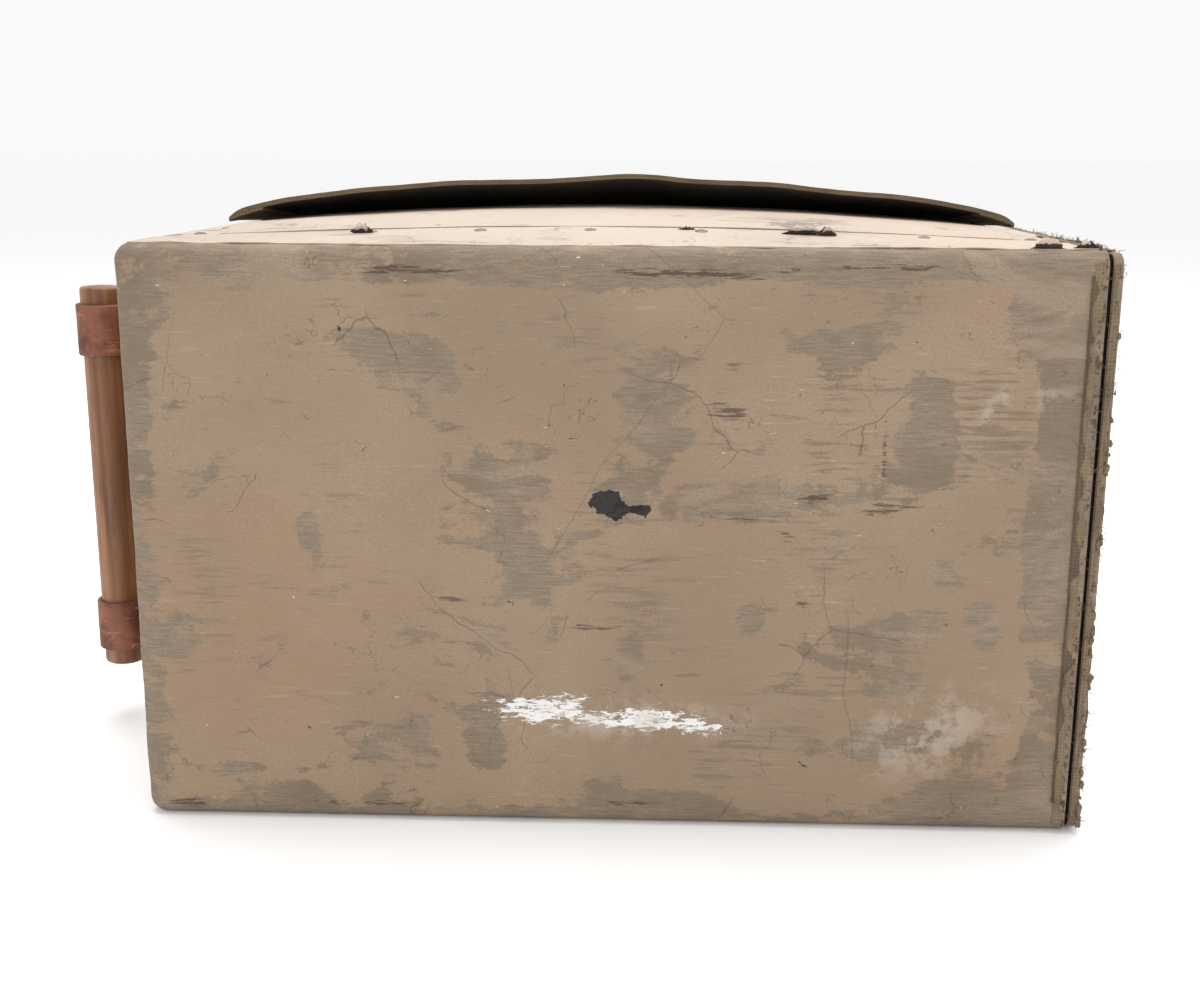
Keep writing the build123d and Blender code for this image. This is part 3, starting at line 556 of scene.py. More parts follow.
def clumps(name, places, look, body, seed, size):
    """Lumps of matted fibre stuck to a torn edge, at millimetre points."""
    rng = random.Random(seed)
    verts, faces = [], []
    for x, y, z in places:
        ball = bmesh.new()
        bmesh.ops.create_icosphere(ball, subdivisions=2, radius=1.0)
        r, tall, shift = rng.uniform(*size), rng.uniform(1.0, 2.6), rng.uniform(0, 90)
        base = len(verts)
        for v in ball.verts:
            lump = r * (1.0 + 0.55 * rough_noise(*v.co, 1.1, shift, 3))
            at = (x + v.co.x * lump * 0.8, y + v.co.y * lump * 0.6, z + v.co.z * lump * tall)
            verts.append(above_floor(*at))
        faces += [tuple(base + v.index for v in face.verts) for face in ball.faces]
        ball.free()
    return make(name, verts, faces, [look], body)


# ---- fields of wear, in the row frame ----
def spot(x, z, cx, cz, half_x, half_z, tilt=0.0):
    """1 in the middle of a tilted ellipse, 0 at its edge and less outside it."""
    c, s = math.cos(math.radians(tilt)), math.sin(math.radians(tilt))
    dx, dz = x - cx, z - cz
    u, w = (dx * c + dz * s) / half_x, (-dx * s + dz * c) / half_z
    return 1.0 - math.sqrt(u * u + w * w)


# (x, z, half width, half height, tilt) of the places on the near side where the paint is gone
WORN_NEAR = [
    (-62, 212, 40, 14, -8), (-50, 168, 20, 40, 14), (18, 262, 36, 32, -35), (80, 200, 62, 19, 4),
    (128, 291, 36, 17, 3), (180, 247, 21, 36, 6), (246, 305, 42, 34, 30), (166, 124, 52, 19, 6),
    (-74, 52, 18, 30, 8), (150, 52, 66, 15, 8), (-118, 284, 42, 15, -14), (-174, 179, 12, 20, 0),
    (-256, 112, 20, 26, 0), (12, 107, 15, 26, 0), (80, 130, 12, 14, 0), (215, 128, 18, 22, 20),
    (-180, 12, 60, 14, 0), (40, 14, 44, 13, 0), (205, 20, 70, 16, 0), (-116, 60, 12, 9, 0),
    (30, 235, 20, 16, 10),
]
# dark scrapes, chalk, pale bloom and ink on the near side, in the same form
DARK_NEAR = [
    (68, 277, 15, 4, 0), (66, 252, 24, 8, -12), (116, 203, 22, 6, 10), (156, 197, 34, 5, 4),
    (153, 228, 3, 42, 0), (70, 192, 40, 3.5, -3), (-112, 330, 66, 6, 0), (48, 329, 84, 6, 0),
    (146, 333, 60, 4, 0), (10, 14, 50, 3, 0), (-150, 11, 60, 3, 0), (-256, 9, 22, 5, -8),
    (-20, 237, 9, 3, 35), (-8, 124, 26, 3, 0), (-92, 141, 18, 2.5, 0), (100, 180, 12, 4, 0),
    (112, 141, 9, 4, 0),
]
CHALK_NEAR = [(-44, 72, 44, 12, -4), (34, 67, 56, 10, -7), (-30, 78, 30, 6, 0), (8, 66, 80, 7, -4)]
HAZE_NEAR = [(185, 62, 60, 34, 20), (214, 255, 7, 34, -38), (10, 67, 90, 16, 0), (240, 262, 24, 7, 10)]
INK_NEAR = [(-4, 201, 11, 9, 20), (2, 196, 10, 8, -20), (13, 194, 14, 4.0, -8)]
MARKS_NEAR = {"dark": DARK_NEAR, "chalk": CHALK_NEAR, "haze": HAZE_NEAR, "ink": INK_NEAR}


def edge_wear(x, y, z):
    """1 on an edge of the case, where two faces meet, falling to 0 at 24 mm from it."""
    from_faces = sorted((x - REAR, MOUTH - x, HALF_W - abs(y), z, HEIGHT - z))
    return max(0.0, 1.0 - from_faces[1] / 24.0)


def best(fields, x, z):
    """The strongest of several spots at a place on the near side."""
    return max(spot(x, z, *field) for field in fields)


def past(distance, reach, most):
    """Grows from 0 at a line to a most over a reach beyond it."""
    return min(most, max(0.0, distance / reach))


def worn_value(x, y, z):
    """How worn the covering is: rubbed edges, spots, and bands along three edges of the near side."""
    worn = 0.30 + 0.72 * edge_wear(x, y, z)
    if not on_near_side(y):
        return max(worn, 0.30 + 0.9 * max(0.0, rough_noise(x, y, z, 0.012, 20.0) - 0.12))
    lens_end = 236 + 10 * wobble(x, 0, z, 0.018, 3.0) + 6 * wobble(x, 0, z, 0.05, 8.0)
    top_edge = 322 + 5 * wobble(x, 0, z, 0.02, 5.0)
    grip_end = -262 + 8 * wobble(x, 0, z, 0.02, 9.0)
    return max(
        worn,
        0.30 + min(0.75, 1.05 * max(best(WORN_NEAR, x, z), -0.1)),
        0.34 + past(x - lens_end, 10.0, 0.6),
        0.32 + past(z - top_edge, 7.0, 0.6),
        0.32 + past(grip_end - x, 9.0, 0.5),
    )


def on_near_side(y):
    """Whether a place is on the side that the photograph shows."""
    return y < -HALF_W + 12


def mark_value(x, y, z, kind):
    """How strong the scrapes, chalk, bloom or ink are at a point of the covering, from 0 to 1."""
    if on_near_side(y):
        return max(0.0, min(1.0, (2.0 if kind == "ink" else 1.4) * best(MARKS_NEAR[kind], x, z)))
    return 0.7 * max(0.0, rough_noise(x, y, z, 0.02, 40.0) - 0.3) if kind == "dark" else 0.0


def add_fields(obj):
    """Stores the wear fields on a mesh's points for the canvas shader."""
    points = [tuple(c / MM for c in v.co) for v in obj.data.vertices]
    fields = {"worn": [worn_value(*at) for at in points]}
    for kind in MARKS_NEAR:
        fields[kind] = [mark_value(*at, kind) for at in points]
    for kind, values in fields.items():
        attribute = obj.data.attributes.new(kind, "FLOAT", "POINT")
        attribute.data.foreach_set("value", values)


# ---- the covering of the case ----
SKIN = 1.1
TOP_LAP = 15.0  # how far the side canvas laps on to the top
GRID = 4.2
REAR_HOLES = [((-85.0, 235.0), 23.0), ((105.0, 60.0), 10.5)]  # (y, z) and radius: viewing port, rod bushing


def rounded(x, y, z, r):
    """A point of a box's surface moved on to the rounded box with the same faces."""
    inner = (max(x, REAR + r), min(max(y, -HALF_W + r), HALF_W - r), min(max(z, r), HEIGHT - r))
    out = Vector((x - inner[0], y - inner[1], z - inner[2]))
    if out.length < 1e-9:
        return Vector((x, y, z)), Vector((0, 0, 1))
    out.normalize()
    return Vector(inner) + out * r, out


def case_point(x, y, z, depth):
    """A point on the covering, a little uneven, at a depth under its outer face."""
    at, out = rounded(x, y, z, EDGE_R)
    swell = 0.55 * wobble(x, y, z, 0.009, 1.0) + 0.30 * wobble(x, y, z, 0.03, 7.0)
    edge = edge_wear(at.x, at.y, at.z)
    swell += edge * (0.5 * wobble(x, y, z, 0.05, 15.0) + 0.3 * wobble(x, y, z, 0.14, 31.0))
    swell = max(-0.45, swell + 0.35)
    if out.z < -0.3:
        swell = min(0.0, swell)
    moved = at + out * (swell - depth)
    moved.z = max(moved.z, 0.0)
    return tuple(moved)


def case_covering():
    """One canvas shell: near side, underside, far side and rear end, lapped over the top's edges."""
    xs = ticks(REAR, MOUTH, GRID, EDGE_R)
    ys = ticks(-HALF_W, HALF_W, GRID, EDGE_R, EDGE_R)
    zs = ticks(0.0, HEIGHT, GRID, EDGE_R, EDGE_R)
    index, verts, quads = {}, [], []

    def vertex(x, y, z, layer):
        key = (round(x, 3), round(y, 3), round(z, 3), layer)
        if key not in index:
            index[key] = len(verts)
            verts.append(case_point(x, y, z, SKIN * layer))
        return index[key]

    def patch(us, vs, place):
        for a, b in zip(us, us[1:]):
            for c, d in zip(vs, vs[1:]):
                quads.append((place(a, c), place(b, c), place(b, d), place(a, d)))

    lap_ys = [y for y in ys if y <= -HALF_W + TOP_LAP + 3]
    far_ys = [y for y in ys if y >= HALF_W - TOP_LAP - 3]
    rear_xs = [x for x in xs if x <= REAR + TOP_LAP + 3]
    patch(xs, zs, lambda x, z: (x, -HALF_W, z))
    patch(xs[::-1], zs, lambda x, z: (x, HALF_W, z))
    patch(xs, ys[::-1], lambda x, y: (x, y, 0.0))
    patch(ys[::-1], zs, lambda y, z: (REAR, y, z))
    patch(xs, lap_ys, lambda x, y: (x, y, HEIGHT))
    patch(xs, far_ys, lambda x, y: (x, y, HEIGHT))
    middle = [y for y in ys if lap_ys[-1] <= y <= far_ys[0]]
    patch(rear_xs, middle, lambda x, y: (x, y, HEIGHT))

    def in_hole(corners):
        if any(corner[0] != REAR for corner in corners):
            return False
        y = sum(corner[1] for corner in corners) / 4
        z = sum(corner[2] for corner in corners) / 4
        return any(math.hypot(y - cy, z - cz) < r for (cy, cz), r in REAR_HOLES)

    faces, edge_uses = [], {}
    for corners in quads:
        if in_hole(corners):
            continue
        outer = [vertex(*corner, 0) for corner in corners]
        inner = [vertex(*corner, 1) for corner in corners]
        faces.append(tuple(outer))
        faces.append(tuple(reversed(inner)))
        for k in range(4):
            a, b = corners[k], corners[(k + 1) % 4]
            edge_uses.setdefault(frozenset((a, b)), []).append((a, b))
    for uses in edge_uses.values():
        if len(uses) == 1:
            a, b = uses[0]
            faces.append((vertex(*b, 0), vertex(*a, 0), vertex(*a, 1), vertex(*b, 1)))
    obj = make("case_covering", verts, faces, [CANVAS], "case")
    add_fields(obj)
    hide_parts("side_canvas", "bottom_canvas")


case_covering()


# ---- the top's fibre panels ----
def torn(x, base, depth, seed):
    """How far a torn edge runs back at a place along it."""
    value = rough_noise(x, 0, 0, 0.045, seed, 5)
    bite = max(0.0, wobble(x, 3, 0, 0.022, seed + 5) - 0.35) * 2.2
    return base + depth * (0.5 + 0.5 * value) + depth * bite


def near_panel():
    """The crowned strip along the near edge of the top, its front edge torn."""
    us = ticks(REAR + 7.0, MOUTH - 0.4, 2.4)
    vs = [k / 22 for k in range(23)]

    def top(x, v):
        start = torn(x, 7.0, 3.2, 2.0)
        t = start + (NEAR_FLANGE - start) * v
        lift = 0.9 * max(0.0, wobble(x, t, 0, 0.05, 6.0)) * (1 - v) ** 3
        lift += 0.35 * wobble(x, t, 0, 0.03, 12.0)
        ease = min(1.0, (t - 4.0) / 12.0)
        return (x, near(t), HEIGHT + 0.55 + crown(x, t) * ease + lift)

    def deep(x, v):
        return 0.75 + 1.7 * min(1.0, v * 4)

    obj = slab("top_near_panel", us, vs, top, deep, [CANVAS_TOP_PAINTED_LIGHT, RAW_CANVAS, PANEL_EDGE], "case")
    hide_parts("near_top_flange")


def flat_panel(name, x0, x1, y0, y1, seed, replaced=None):
    """A level fibre strip beside the top opening."""
    us, vs = ticks(x0, x1, 4.0), ticks(y0, y1, 4.0)

    def top(x, y):
        return (x, y, HEIGHT + 0.45 + 0.3 * wobble(x, y, 0, 0.03, seed))

    obj = slab(name, us, vs, top, lambda x, y: 2.4, [CANVAS_TOP_PAINTED_LIGHT, RAW_CANVAS, FLAP_EDGE], "case")
    if replaced:
        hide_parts(replaced)


OPENING_NEAR, OPENING_FAR = near(NEAR_FLANGE) + 0.2, HALF_W - FAR_FLANGE
near_panel()
flat_panel("top_rear_panel", REAR + 8, REAR_FLANGE_X, OPENING_NEAR, OPENING_FAR, 3, "end_top_flanges")
flat_panel("top_front_panel", FRONT_FLANGE_X, MOUTH - 0.4, OPENING_NEAR, OPENING_FAR, 8)
flat_panel("top_far_panel", REAR + 8, MOUTH - 0.4, OPENING_FAR + 0.2, HALF_W - 8, 5, "far_top_flange")


# ---- flaps ----
def inner_flap():
    """The crowned sheet hinged along the near strip."""
    us = [-INNER_X + 2 * INNER_X * k / 150 for k in range(151)]
    vs = [k / 44 for k in range(45)]

    def top(x, v):
        t = INNER_NEAR + (INNER_FAR - INNER_NEAR) * v
        edge = 1 - min(1.0, (INNER_X - abs(x)) / 12.0)
        side = 1.5 * edge * edge * wobble(0, t, 0, 0.03, 4.0)
        dip = 2.3 * (1 - min(1.0, (t - INNER_NEAR) / 16.0)) ** 2
        return (x + math.copysign(1.2, x) * edge * wobble(0, t, x, 0.06, 2.0), near(t),
                HEIGHT + 3.3 - dip + crown(x, t) + 0.4 * wobble(x, t, 0, 0.02, 9.0) + side)

    obj = slab("inner_flap_sheet", us, vs, top, lambda x, v: 2.8 - 1.6 * (1 - min(1.0, v * 8)),
               [CANVAS_TOP_PAINTED_LIGHT, RAW_CANVAS, PANEL_EDGE], "inner_flap")
    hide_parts("inner_flap_board")


def outer_flap():
    """The arched sheet hinged along the far edge, its near edge ragged and curling."""
    us = [-TOP_X + 2 * TOP_X * k / 170 for k in range(171)]
    vs = [k / 60 for k in range(61)]

    def top(x, v):
        ragged = 1.6 * rough_noise(x, 0, 0, 0.04, 14.0)
        start = TOP_NEAR + 1.0 + ragged * (1 - v)
        t = start + (TOP_FAR - 0.2 - start) * v
        curl = 0.9 * rough_noise(x, 0, 0, 0.015, 17.0, 3) * (1 - v) ** 2
        peak = 2.2 * math.exp(-((x - 4) / 34.0) ** 2) - 1.2 * math.exp(-((x - 150) / 60.0) ** 2)
        corner = min(1.0, (TOP_X - abs(x)) / 10.0)
        drop = 2.5 * (1 - corner) ** 2 * (1 - v) ** 3
        z = top_flap_underside(x, t) + 3.0 + 0.5 * wobble(x, t, 0, 0.02, 21.0)
        return (x, near(t), z + curl + peak * (1 - v) - drop)

    # The flap's top is the lighter top canvas (painted highlight); its underside is the dark lining, partly
    # painted shade.
    looks = [CANVAS_TOP_PAINTED_LIGHT, FLAP_LINING_WITH_PAINTED_SHADE, FLAP_EDGE]
    obj = slab("top_flap_sheet", us, vs, top, lambda x, v: 2.9, looks, "top_flap")
    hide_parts("top_flap_board")


inner_flap()
outer_flap()


def hinge_cloths():
    """Leather strips that bend where the flaps turn."""
    half = 196.0
    us = [-half + 2 * half * k / 90 for k in range(91)]
    vs = [34.0 + 47.5 * k / 24 for k in range(25)]

    def under(x, t):
        lift = 3.0 * min(1.0, max(0.0, (t - 50.0) / 12.0))
        return (x, near(t), HEIGHT - 2.55 + lift + crown(x, t) - 0.1 * wobble(x, t, 0, 0.1))

    obj = slab("inner_hinge_leather", us, vs, under, lambda x, t: 1.3, [HINGE_LEATHER], None)
    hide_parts("inner_flap_hinge_fixed_leaf", "inner_flap_hinge_moving_leaf")
    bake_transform(obj)

    us = [-TOP_X + 3 + 2 * (TOP_X - 3) * k / 120 for k in range(121)]
    vs = [302.0 + 30.0 * k / 22 for k in range(23)]

    def over(x, t):
        flap = top_flap_underside(x, min(t, TOP_FAR)) + 3.0 + 1.5
        strip = HEIGHT + 1.5
        k = min(1.0, max(0.0, (t - 313.0) / 8.0))
        k = k * k * (3 - 2 * k)
        return (x, near(t), flap * (1 - k) + strip * k + 0.15 * wobble(x, t, 0, 0.08, 3.0))

    obj = slab("top_flap_hinge_leather", us, vs, over, lambda x, t: 1.3, [HINGE_LEATHER], None)
    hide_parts("top_flap_hinge_fixed_leaf")
    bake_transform(obj)


hinge_cloths()


# ---- tears and curls on the top ----
def curl_piece(name, x, t, width, reach, lift, turn, seed):
    """A tongue of torn canvas that has rolled up off the top."""
    us = [k / 12 for k in range(13)]
    vs = [k / 14 for k in range(15)]
    rng = random.Random(seed)
    skew = rng.uniform(-0.4, 0.4)

    def top(u, v):
        w = width * (1 - 0.75 * v * v) * (0.9 + 0.35 * wobble(u * 8, v * 8, 0, 0.4, seed))
        pt_edge = 2.2 * wobble(u * 10, 0, seed, 0.35, seed)
        angle = turn * v
        along = reach * math.sin(angle) / turn
        up = reach * (1 - math.cos(angle)) / turn * lift
        across = (u - 0.5) * w + skew * along
        px, pt = x + across, t - along - pt_edge * v
        ripple = 0.8 * wobble(u * 20, v * 20, 0, 0.3, seed)
        return (px, near(pt), HEIGHT + 0.9 + crown(px, max(pt, EDGE_R)) + up + ripple)

    # The curls' tops take the lighter top canvas (painted highlight); their underside and rim take the dark
    # lining (painted shade beneath the curls).
    obj = slab(name, us, vs, top, lambda u, v: 0.55, [CANVAS_TOP_PAINTED_LIGHT, FLAP_LINING_WITH_PAINTED_SHADE, FLAP_LINING_WITH_PAINTED_SHADE], "case")


curl_piece("torn_curl_a", -146, 44, 13, 7, 1.0, 2.6, 1)
curl_piece("torn_curl_b", 108, 45, 24, 8, 0.9, 3.0, 2)
curl_piece("torn_curl_c", 122, 43, 12, 6, 1.1, 2.4, 5)
curl_piece("torn_curl_d", 42, 52, 10, 4, 0.6, 2.0, 7)
curl_piece("torn_curl_e", 240, 12, 20, 9, 0.9, 2.8, 9)
curl_piece("torn_curl_f", 262, 14, 14, 7, 0.8, 2.2, 12)


# ---- torn layers at the lens end ----
NEAR_WAYS = ((1, 0, 0), (0, -1, 0))  # ways across a torn strip and out from it, on the near side
TOP_WAYS = ((1, 0, 0), (0, 0, 1))  # and on the top


def ragged_strip(name, body, along, ways, span, width, lift, seed, look=RAW_CANVAS, roughness=0.5):
    """A torn layer of canvas that follows an edge: along(s) is a point on it for s over the span."""
    us = ticks(*span, 1.6)
    vs = [k / 7 for k in range(8)]
    across, out = Vector(ways[0]), Vector(ways[1])
    upper, lower = [], []
    for s in us:
        reach = width * (1 - roughness + roughness * rough_noise(s, 0, 0, 0.05, seed, 5))
        reach = max(0.6, reach)
        for v in vs:
            bend = lift * max(0.0, wobble(s, 0, 0, 0.045, seed + 4)) * v * v
            bend += 0.18 * wobble(s, v * 30, 0, 0.25, seed + 9)
            at = Vector(along(s)) + across * (reach * v) + out * (0.35 + bend)
            upper.append(tuple(at + out * 0.6))
            lower.append(tuple(at))
    faces, _ = sheet_faces(len(us), len(vs))
    obj = make(name, upper + lower, faces, [look], body)


def mouth_frays():
    """The torn front edge of the covering on the near side and along the top."""
    ragged_strip("mouth_tear_near", "case", lambda s: (MOUTH - 7.5, -HALF_W + 0.1, s), NEAR_WAYS,
                 span=(6, 337), width=8.4, lift=1.6, seed=3)
    ragged_strip("mouth_tear_near_b", "case", lambda s: (MOUTH - 9.0, -HALF_W - 0.5, s), NEAR_WAYS,
                 span=(20, 330), width=8.0, lift=2.4, seed=23, look=FRAY, roughness=0.8)
    ragged_strip("mouth_tear_top", "case", lambda s: (MOUTH - 8.5, s, HEIGHT + 0.5), TOP_WAYS,
                 span=(-160, -40), width=8.6, lift=1.6, seed=6)
    rng = random.Random(41)
    starts = []
    for _ in range(170):
        z = rng.uniform(4, 340)
        at = (MOUTH - rng.uniform(0, 4), -HALF_W - rng.uniform(0.0, 1.0), z)
        starts.append((at, (0.8, -0.5, rng.gauss(0, 0.8))))
    for _ in range(60):
        y = rng.uniform(-165, -60)
        at = (MOUTH - rng.uniform(0, 4), y, HEIGHT + 0.8)
        starts.append((at, (0.6, rng.gauss(0, 0.8), 0.7)))
    threads("mouth_threads", starts, "case", 7, (1.5, 5.0))


mouth_frays()


# ---- front cover ----
COVER_NEAR, COVER_FAR, COVER_LOW, COVER_HIGH = -HALF_W + 1.5, HALF_W - 0.5, 1.5, HEIGHT - 1.0


def cover_wrap():
    """Canvas over the front cover's face and turned round its edges."""
    ys = ticks(COVER_NEAR, COVER_FAR, 5.0, 7.0, 7.0, 1.4)
    zs = ticks(COVER_LOW, COVER_HIGH, 5.0, 7.0, 7.0, 1.4)
    mid_y, mid_z = (COVER_NEAR + COVER_FAR) / 2, (COVER_LOW + COVER_HIGH) / 2
    back, face, corner_r = COVER_BACK + 0.8, FRONT, 7.0
    # x and how far the outline is drawn in there, from the face round to a lip on the back
    levels = [(face, 1.6), (face - 0.6, 0.5), (face - 1.6, 0.0), (face - 3.4, 0.0), (back + 1.0, 0.0),
              (back, 0.4), (back + 0.001, 10.0)]
    verts, faces, index = [], [], {}

    def round_corner(y, z):
        iy = min(max(y, COVER_NEAR + corner_r), COVER_FAR - corner_r)
        iz = min(max(z, COVER_LOW + corner_r), COVER_HIGH - corner_r)
        d = math.hypot(y - iy, z - iz)
        if d <= corner_r or y == iy or z == iz:
            return y, z
        return iy + (y - iy) * corner_r / d, iz + (z - iz) * corner_r / d

    def vertex(y, z, x, inset):
        key = (round(y, 3), round(z, 3), round(x, 3))
        if key not in index:
            cy, cz = round_corner(y, z)
            cy -= (cy - mid_y) * inset / (mid_y - COVER_NEAR)
            cz -= (cz - mid_z) * inset / (mid_z - COVER_LOW)
            if x >= face - 0.5:
                x += 0.35 * wobble(cy, cz, x, 0.02, 3.0) + 0.15 * wobble(cy, cz, x, 0.11, 5.0)
            index[key] = len(verts)
            verts.append((x, cy, max(cz, 1.2)))
        return index[key]

    for a, b in zip(ys, ys[1:]):
        for c, d in zip(zs, zs[1:]):
            faces.append(tuple(vertex(y, z, *levels[0]) for y, z in ((a, c), (b, c), (b, d), (a, d))))
    ring = [(y, COVER_LOW) for y in ys] + [(COVER_FAR, z) for z in zs[1:]]
    ring += [(y, COVER_HIGH) for y in ys[-2::-1]] + [(COVER_NEAR, z) for z in zs[-2:0:-1]]
    for one, two in zip(levels, levels[1:]):
        for a, b in zip(ring, ring[1:] + ring[:1]):
            faces.append((vertex(*a, *one), vertex(*a, *two), vertex(*b, *two), vertex(*b, *one)))
    obj = make("front_cover_wrap", verts, faces, [CANVAS], "front_cover")
    add_fields(obj)
    for value in obj.data.attributes["worn"].data:
        value.value = min(value.value, 0.95)
    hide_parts("front_cover_canvas")


cover_wrap()
ragged_strip("cover_tear_near", "front_cover", lambda s: (COVER_BACK + 1.2, COVER_NEAR - 0.1, s), NEAR_WAYS,
             span=(8, 336), width=6.4, lift=1.2, seed=61)
ragged_strip("cover_tear_face", "front_cover", lambda s: (FRONT - 0.5, COVER_NEAR + 2.4, s),
             ((0, 1, 0), (1, 0, 0)), span=(10, 334), width=9.0, lift=1.8, seed=65, look=FRAY, roughness=0.75)
ragged_strip("cover_tear_top", "front_cover", lambda s: (COVER_BACK + 1.2, s, COVER_HIGH + 0.1), TOP_WAYS,
             span=(-160, 160), width=6.4, lift=1.0, seed=69)


def cover_threads():
    """Loose fibres along the cover's near and upper edges."""
    rng = random.Random(19)
    starts = []
    for _ in range(230):
        z = rng.uniform(4, 338)
        at = (rng.uniform(COVER_BACK, FRONT + 1), COVER_NEAR - 0.6, z)
        starts.append((at, (rng.gauss(0.4, 0.5), -0.7, rng.gauss(0, 0.9))))
    for _ in range(80):
        y = rng.uniform(-165, 160)
        at = (rng.uniform(COVER_BACK, FRONT), y, COVER_HIGH + 0.6)
        starts.append((at, (rng.gauss(0.2, 0.6), rng.gauss(0, 0.7), 0.6)))
    threads("cover_threads", starts, "front_cover", 29, (1.5, 5.5))


cover_threads()


def edge_clumps():
    """Matted canvas on the near edges of the mouth and the cover, thicker towards the bottom."""
    rng = random.Random(77)
    cover_places, mouth_places = [], []
    for _ in range(70):
        z = 5 + 330 * rng.random() ** 1.4
        x = rng.uniform(FRONT - 4.5, FRONT + 0.6)
        cover_places.append((x, COVER_NEAR - rng.uniform(-0.2, 0.5), z))
    for _ in range(46):
        z = 5 + 330 * rng.random() ** 1.3
        mouth_places.append((MOUTH - rng.uniform(0.8, 3.0), -HALF_W - rng.uniform(-0.2, 0.7), z))
    for _ in range(26):
        at = (MOUTH - rng.uniform(1.0, 3.5), rng.uniform(-166, -110), HEIGHT + rng.uniform(0.2, 1.4))
        mouth_places.append(at)
    clumps("cover_edge_clumps", cover_places, RAW_CANVAS, "front_cover", 5, (0.7, 2.0))
    clumps("mouth_edge_clumps", mouth_places, FRAY, "case", 6, (0.6, 1.3))


edge_clumps()


# ---- handle ----
def grip():
    """A turned hardwood grip with eased ends, a little out of true."""
    half = 132.5
    levels = [(0.0, 0.0), (0.0, 9.0), (0.25, 12.4), (1.0, 13.5), (2.4, 14.0)]
    rings = [(AXIS_Z - half + z, r) for z, r in levels]
    rings += [(AXIS_Z - half + 2.4 + (2 * half - 4.8) * k / 60, 14.0) for k in range(1, 60)]
    rings += [(AXIS_Z + half - z, r) for z, r in reversed(levels)]
    sides = 56
    verts, faces = [], []
    for z, r in rings:
        for k in range(sides):
            a = 2 * math.pi * k / sides
            rr = r
            if r > 13:
                rr += 0.12 * wobble(math.cos(a) * 14, math.sin(a) * 14, z, 0.04, 2.0) - 0.12
            verts.append((GRIP_X + rr * math.cos(a), rr * math.sin(a), z))
    for i in range(len(rings) - 1):
        for k in range(sides):
            a, b = i * sides + k, i * sides + (k + 1) % sides
            faces.append((a, b, b + sides, a + sides))
    obj = make("grip_wood_turned", verts, faces, [GRIP_WOOD], "handle")
    bm = bmesh.new()
    bm.from_mesh(obj.data)
    bmesh.ops.remove_doubles(bm, verts=bm.verts, dist=1e-6)
    bm.to_mesh(obj.data)
    bm.free()
    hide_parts("grip_dowel")


grip()


def loop_path():
    """The middle line of one strap: round the grip, together, and round the staple."""
    points = []
    r_grip, r_staple, half = GRIP_R + 1.55, 2.3 + 1.5, 1.65
    start = math.asin(half / r_grip)
    for k in range(41):
        a = start + (2 * math.pi - 2 * start) * k / 40
        points.append((GRIP_X + r_grip * math.cos(a), r_grip * math.sin(a)))
    x0, x1 = points[-1][0], STAPLE_X - math.sqrt(r_staple ** 2 - half ** 2)
    for k in range(1, 14):
        points.append((x0 + (x1 - x0) * k / 14, -half))
    start = math.asin(half / r_staple)
    for k in range(17):
        a = -math.pi + start + (2 * math.pi - 2 * start) * k / 16
        points.append((STAPLE_X + r_staple * math.cos(a), r_staple * math.sin(a)))
    for k in range(1, 14):
        points.append((x1 + (x0 - x1) * k / 14, half))
    return points


def loops():
    """The two leather straps, one section swept round the path of each."""
    path = loop_path()
    count = len(path)
    half_t = 1.45
    verts, faces = [], []
    across = [(-1.0, 0.72), (-0.95, 1.0), (-0.6, 1.0), (-0.2, 1.0)]
    across += [(-w, t) for w, t in reversed(across)]
    profile = across + [(w, -t) for w, t in reversed(across)]
    size = len(profile)
    for base_z in LOOP_Z:
        base = len(verts)
        for i in range(count):
            p = Vector(path[i])
            ahead = (Vector(path[(i + 1) % count]) - Vector(path[i - 1])).normalized()
            out = Vector((ahead.y, -ahead.x))
            width = LOOP_WIDTH / 2 * (1 + 0.03 * wobble(p.x, p.y, base_z, 0.06, 2.0))
            for w, t in profile:
                ripple = 0.22 * wobble(p.x, p.y, base_z + w * 15, 0.09, 6.0)
                offset = out * (t * half_t + (ripple if t > 0 else 0.0))
                verts.append((p.x + offset.x, p.y + offset.y, base_z + w * width))
        for i in range(count):
            here, ahead = base + i * size, base + (i + 1) % count * size
            for k in range(size):
                other = (k + 1) % size
                faces.append((here + k, here + other, ahead + other, ahead + k))
    obj = make("handle_loops_leather", verts, faces, [LOOP_LEATHER], "handle")
    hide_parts("handle_loops")


loops()


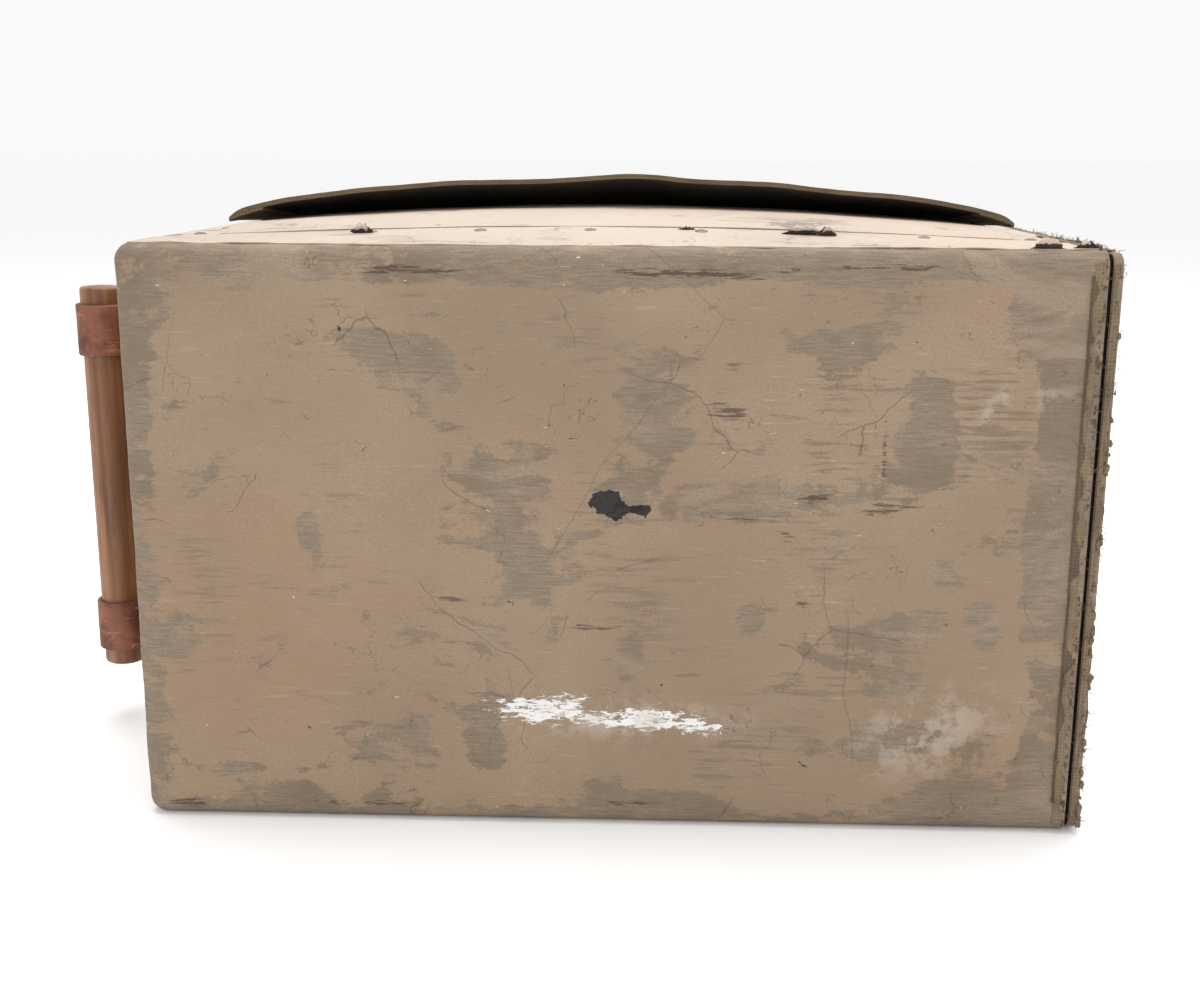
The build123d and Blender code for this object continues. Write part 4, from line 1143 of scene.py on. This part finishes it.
# ---- floor, light and camera ----
def plain_floor():
    """A pale floor that runs out of sight."""
    mesh = bpy.data.meshes.new("floor")
    mesh.from_pydata([(-60, -12, 0), (60, -12, 0), (60, 150, 0), (-60, 150, 0)], [], [(0, 1, 2, 3)])
    floor = bpy.data.objects.new("floor", mesh)
    bpy.context.scene.collection.objects.link(floor)
    s = Shader("floor_white", roughness=0.9)
    s.bsdf.inputs["Base Color"].default_value = (0.985, 0.985, 0.985, 1)
    mesh.materials.append(s.material)


def light(name, at, target, size, power, size_y=None):
    """An area light aimed at a target, in metres and watts."""
    data = bpy.data.lights.new(name, "AREA")
    data.energy = power
    data.shape = "RECTANGLE"
    data.size, data.size_y = size, size_y or size
    obj = bpy.data.objects.new(name, data)
    obj.location = at
    obj.rotation_euler = (Vector(target) - Vector(at)).to_track_quat("-Z", "Y").to_euler()
    bpy.context.scene.collection.objects.link(obj)


plain_floor()
light("top_softbox", (0.0, 0.5, 2.4), (0, 0.0, 0.3), 2.4, 60, 2.0)
light("front_softbox", (0.3, -2.7, 1.5), (0, 0, 0.2), 1.6, 12)
world = bpy.data.worlds.new("studio")
world.use_nodes = True
world.node_tree.nodes["Background"].inputs["Color"].default_value = (1, 1, 1, 1)
world.node_tree.nodes["Background"].inputs["Strength"].default_value = 0.95
bpy.context.scene.world = world
bpy.context.scene.view_settings.view_transform = "Standard"


def camera():
    """A camera in front of the near side, a little above the case, looking down at it."""
    yaw, pitch, roll = math.radians(1.918), math.radians(13.187), math.radians(0.328)
    ahead = Vector((-math.sin(yaw) * math.cos(pitch), math.cos(yaw) * math.cos(pitch), -math.sin(pitch)))
    right = Vector((math.cos(yaw), math.sin(yaw), 0.0))
    up = right.cross(ahead)
    side = right * math.cos(roll) + up * math.sin(roll)
    top = up * math.cos(roll) - right * math.sin(roll)
    data = bpy.data.cameras.new("camera")
    data.lens, data.sensor_width = 44.93, 36.0
    data.clip_start, data.clip_end = 0.05, 50.0
    obj = bpy.data.objects.new("camera", data)
    rows = Matrix((side, top, -ahead)).transposed()
    obj.matrix_world = Matrix.Translation(Vector((21.8, -1004.9, 395.8)) * MM) @ rows.to_4x4()
    bpy.context.scene.collection.objects.link(obj)
    bpy.context.scene.camera = obj


camera()
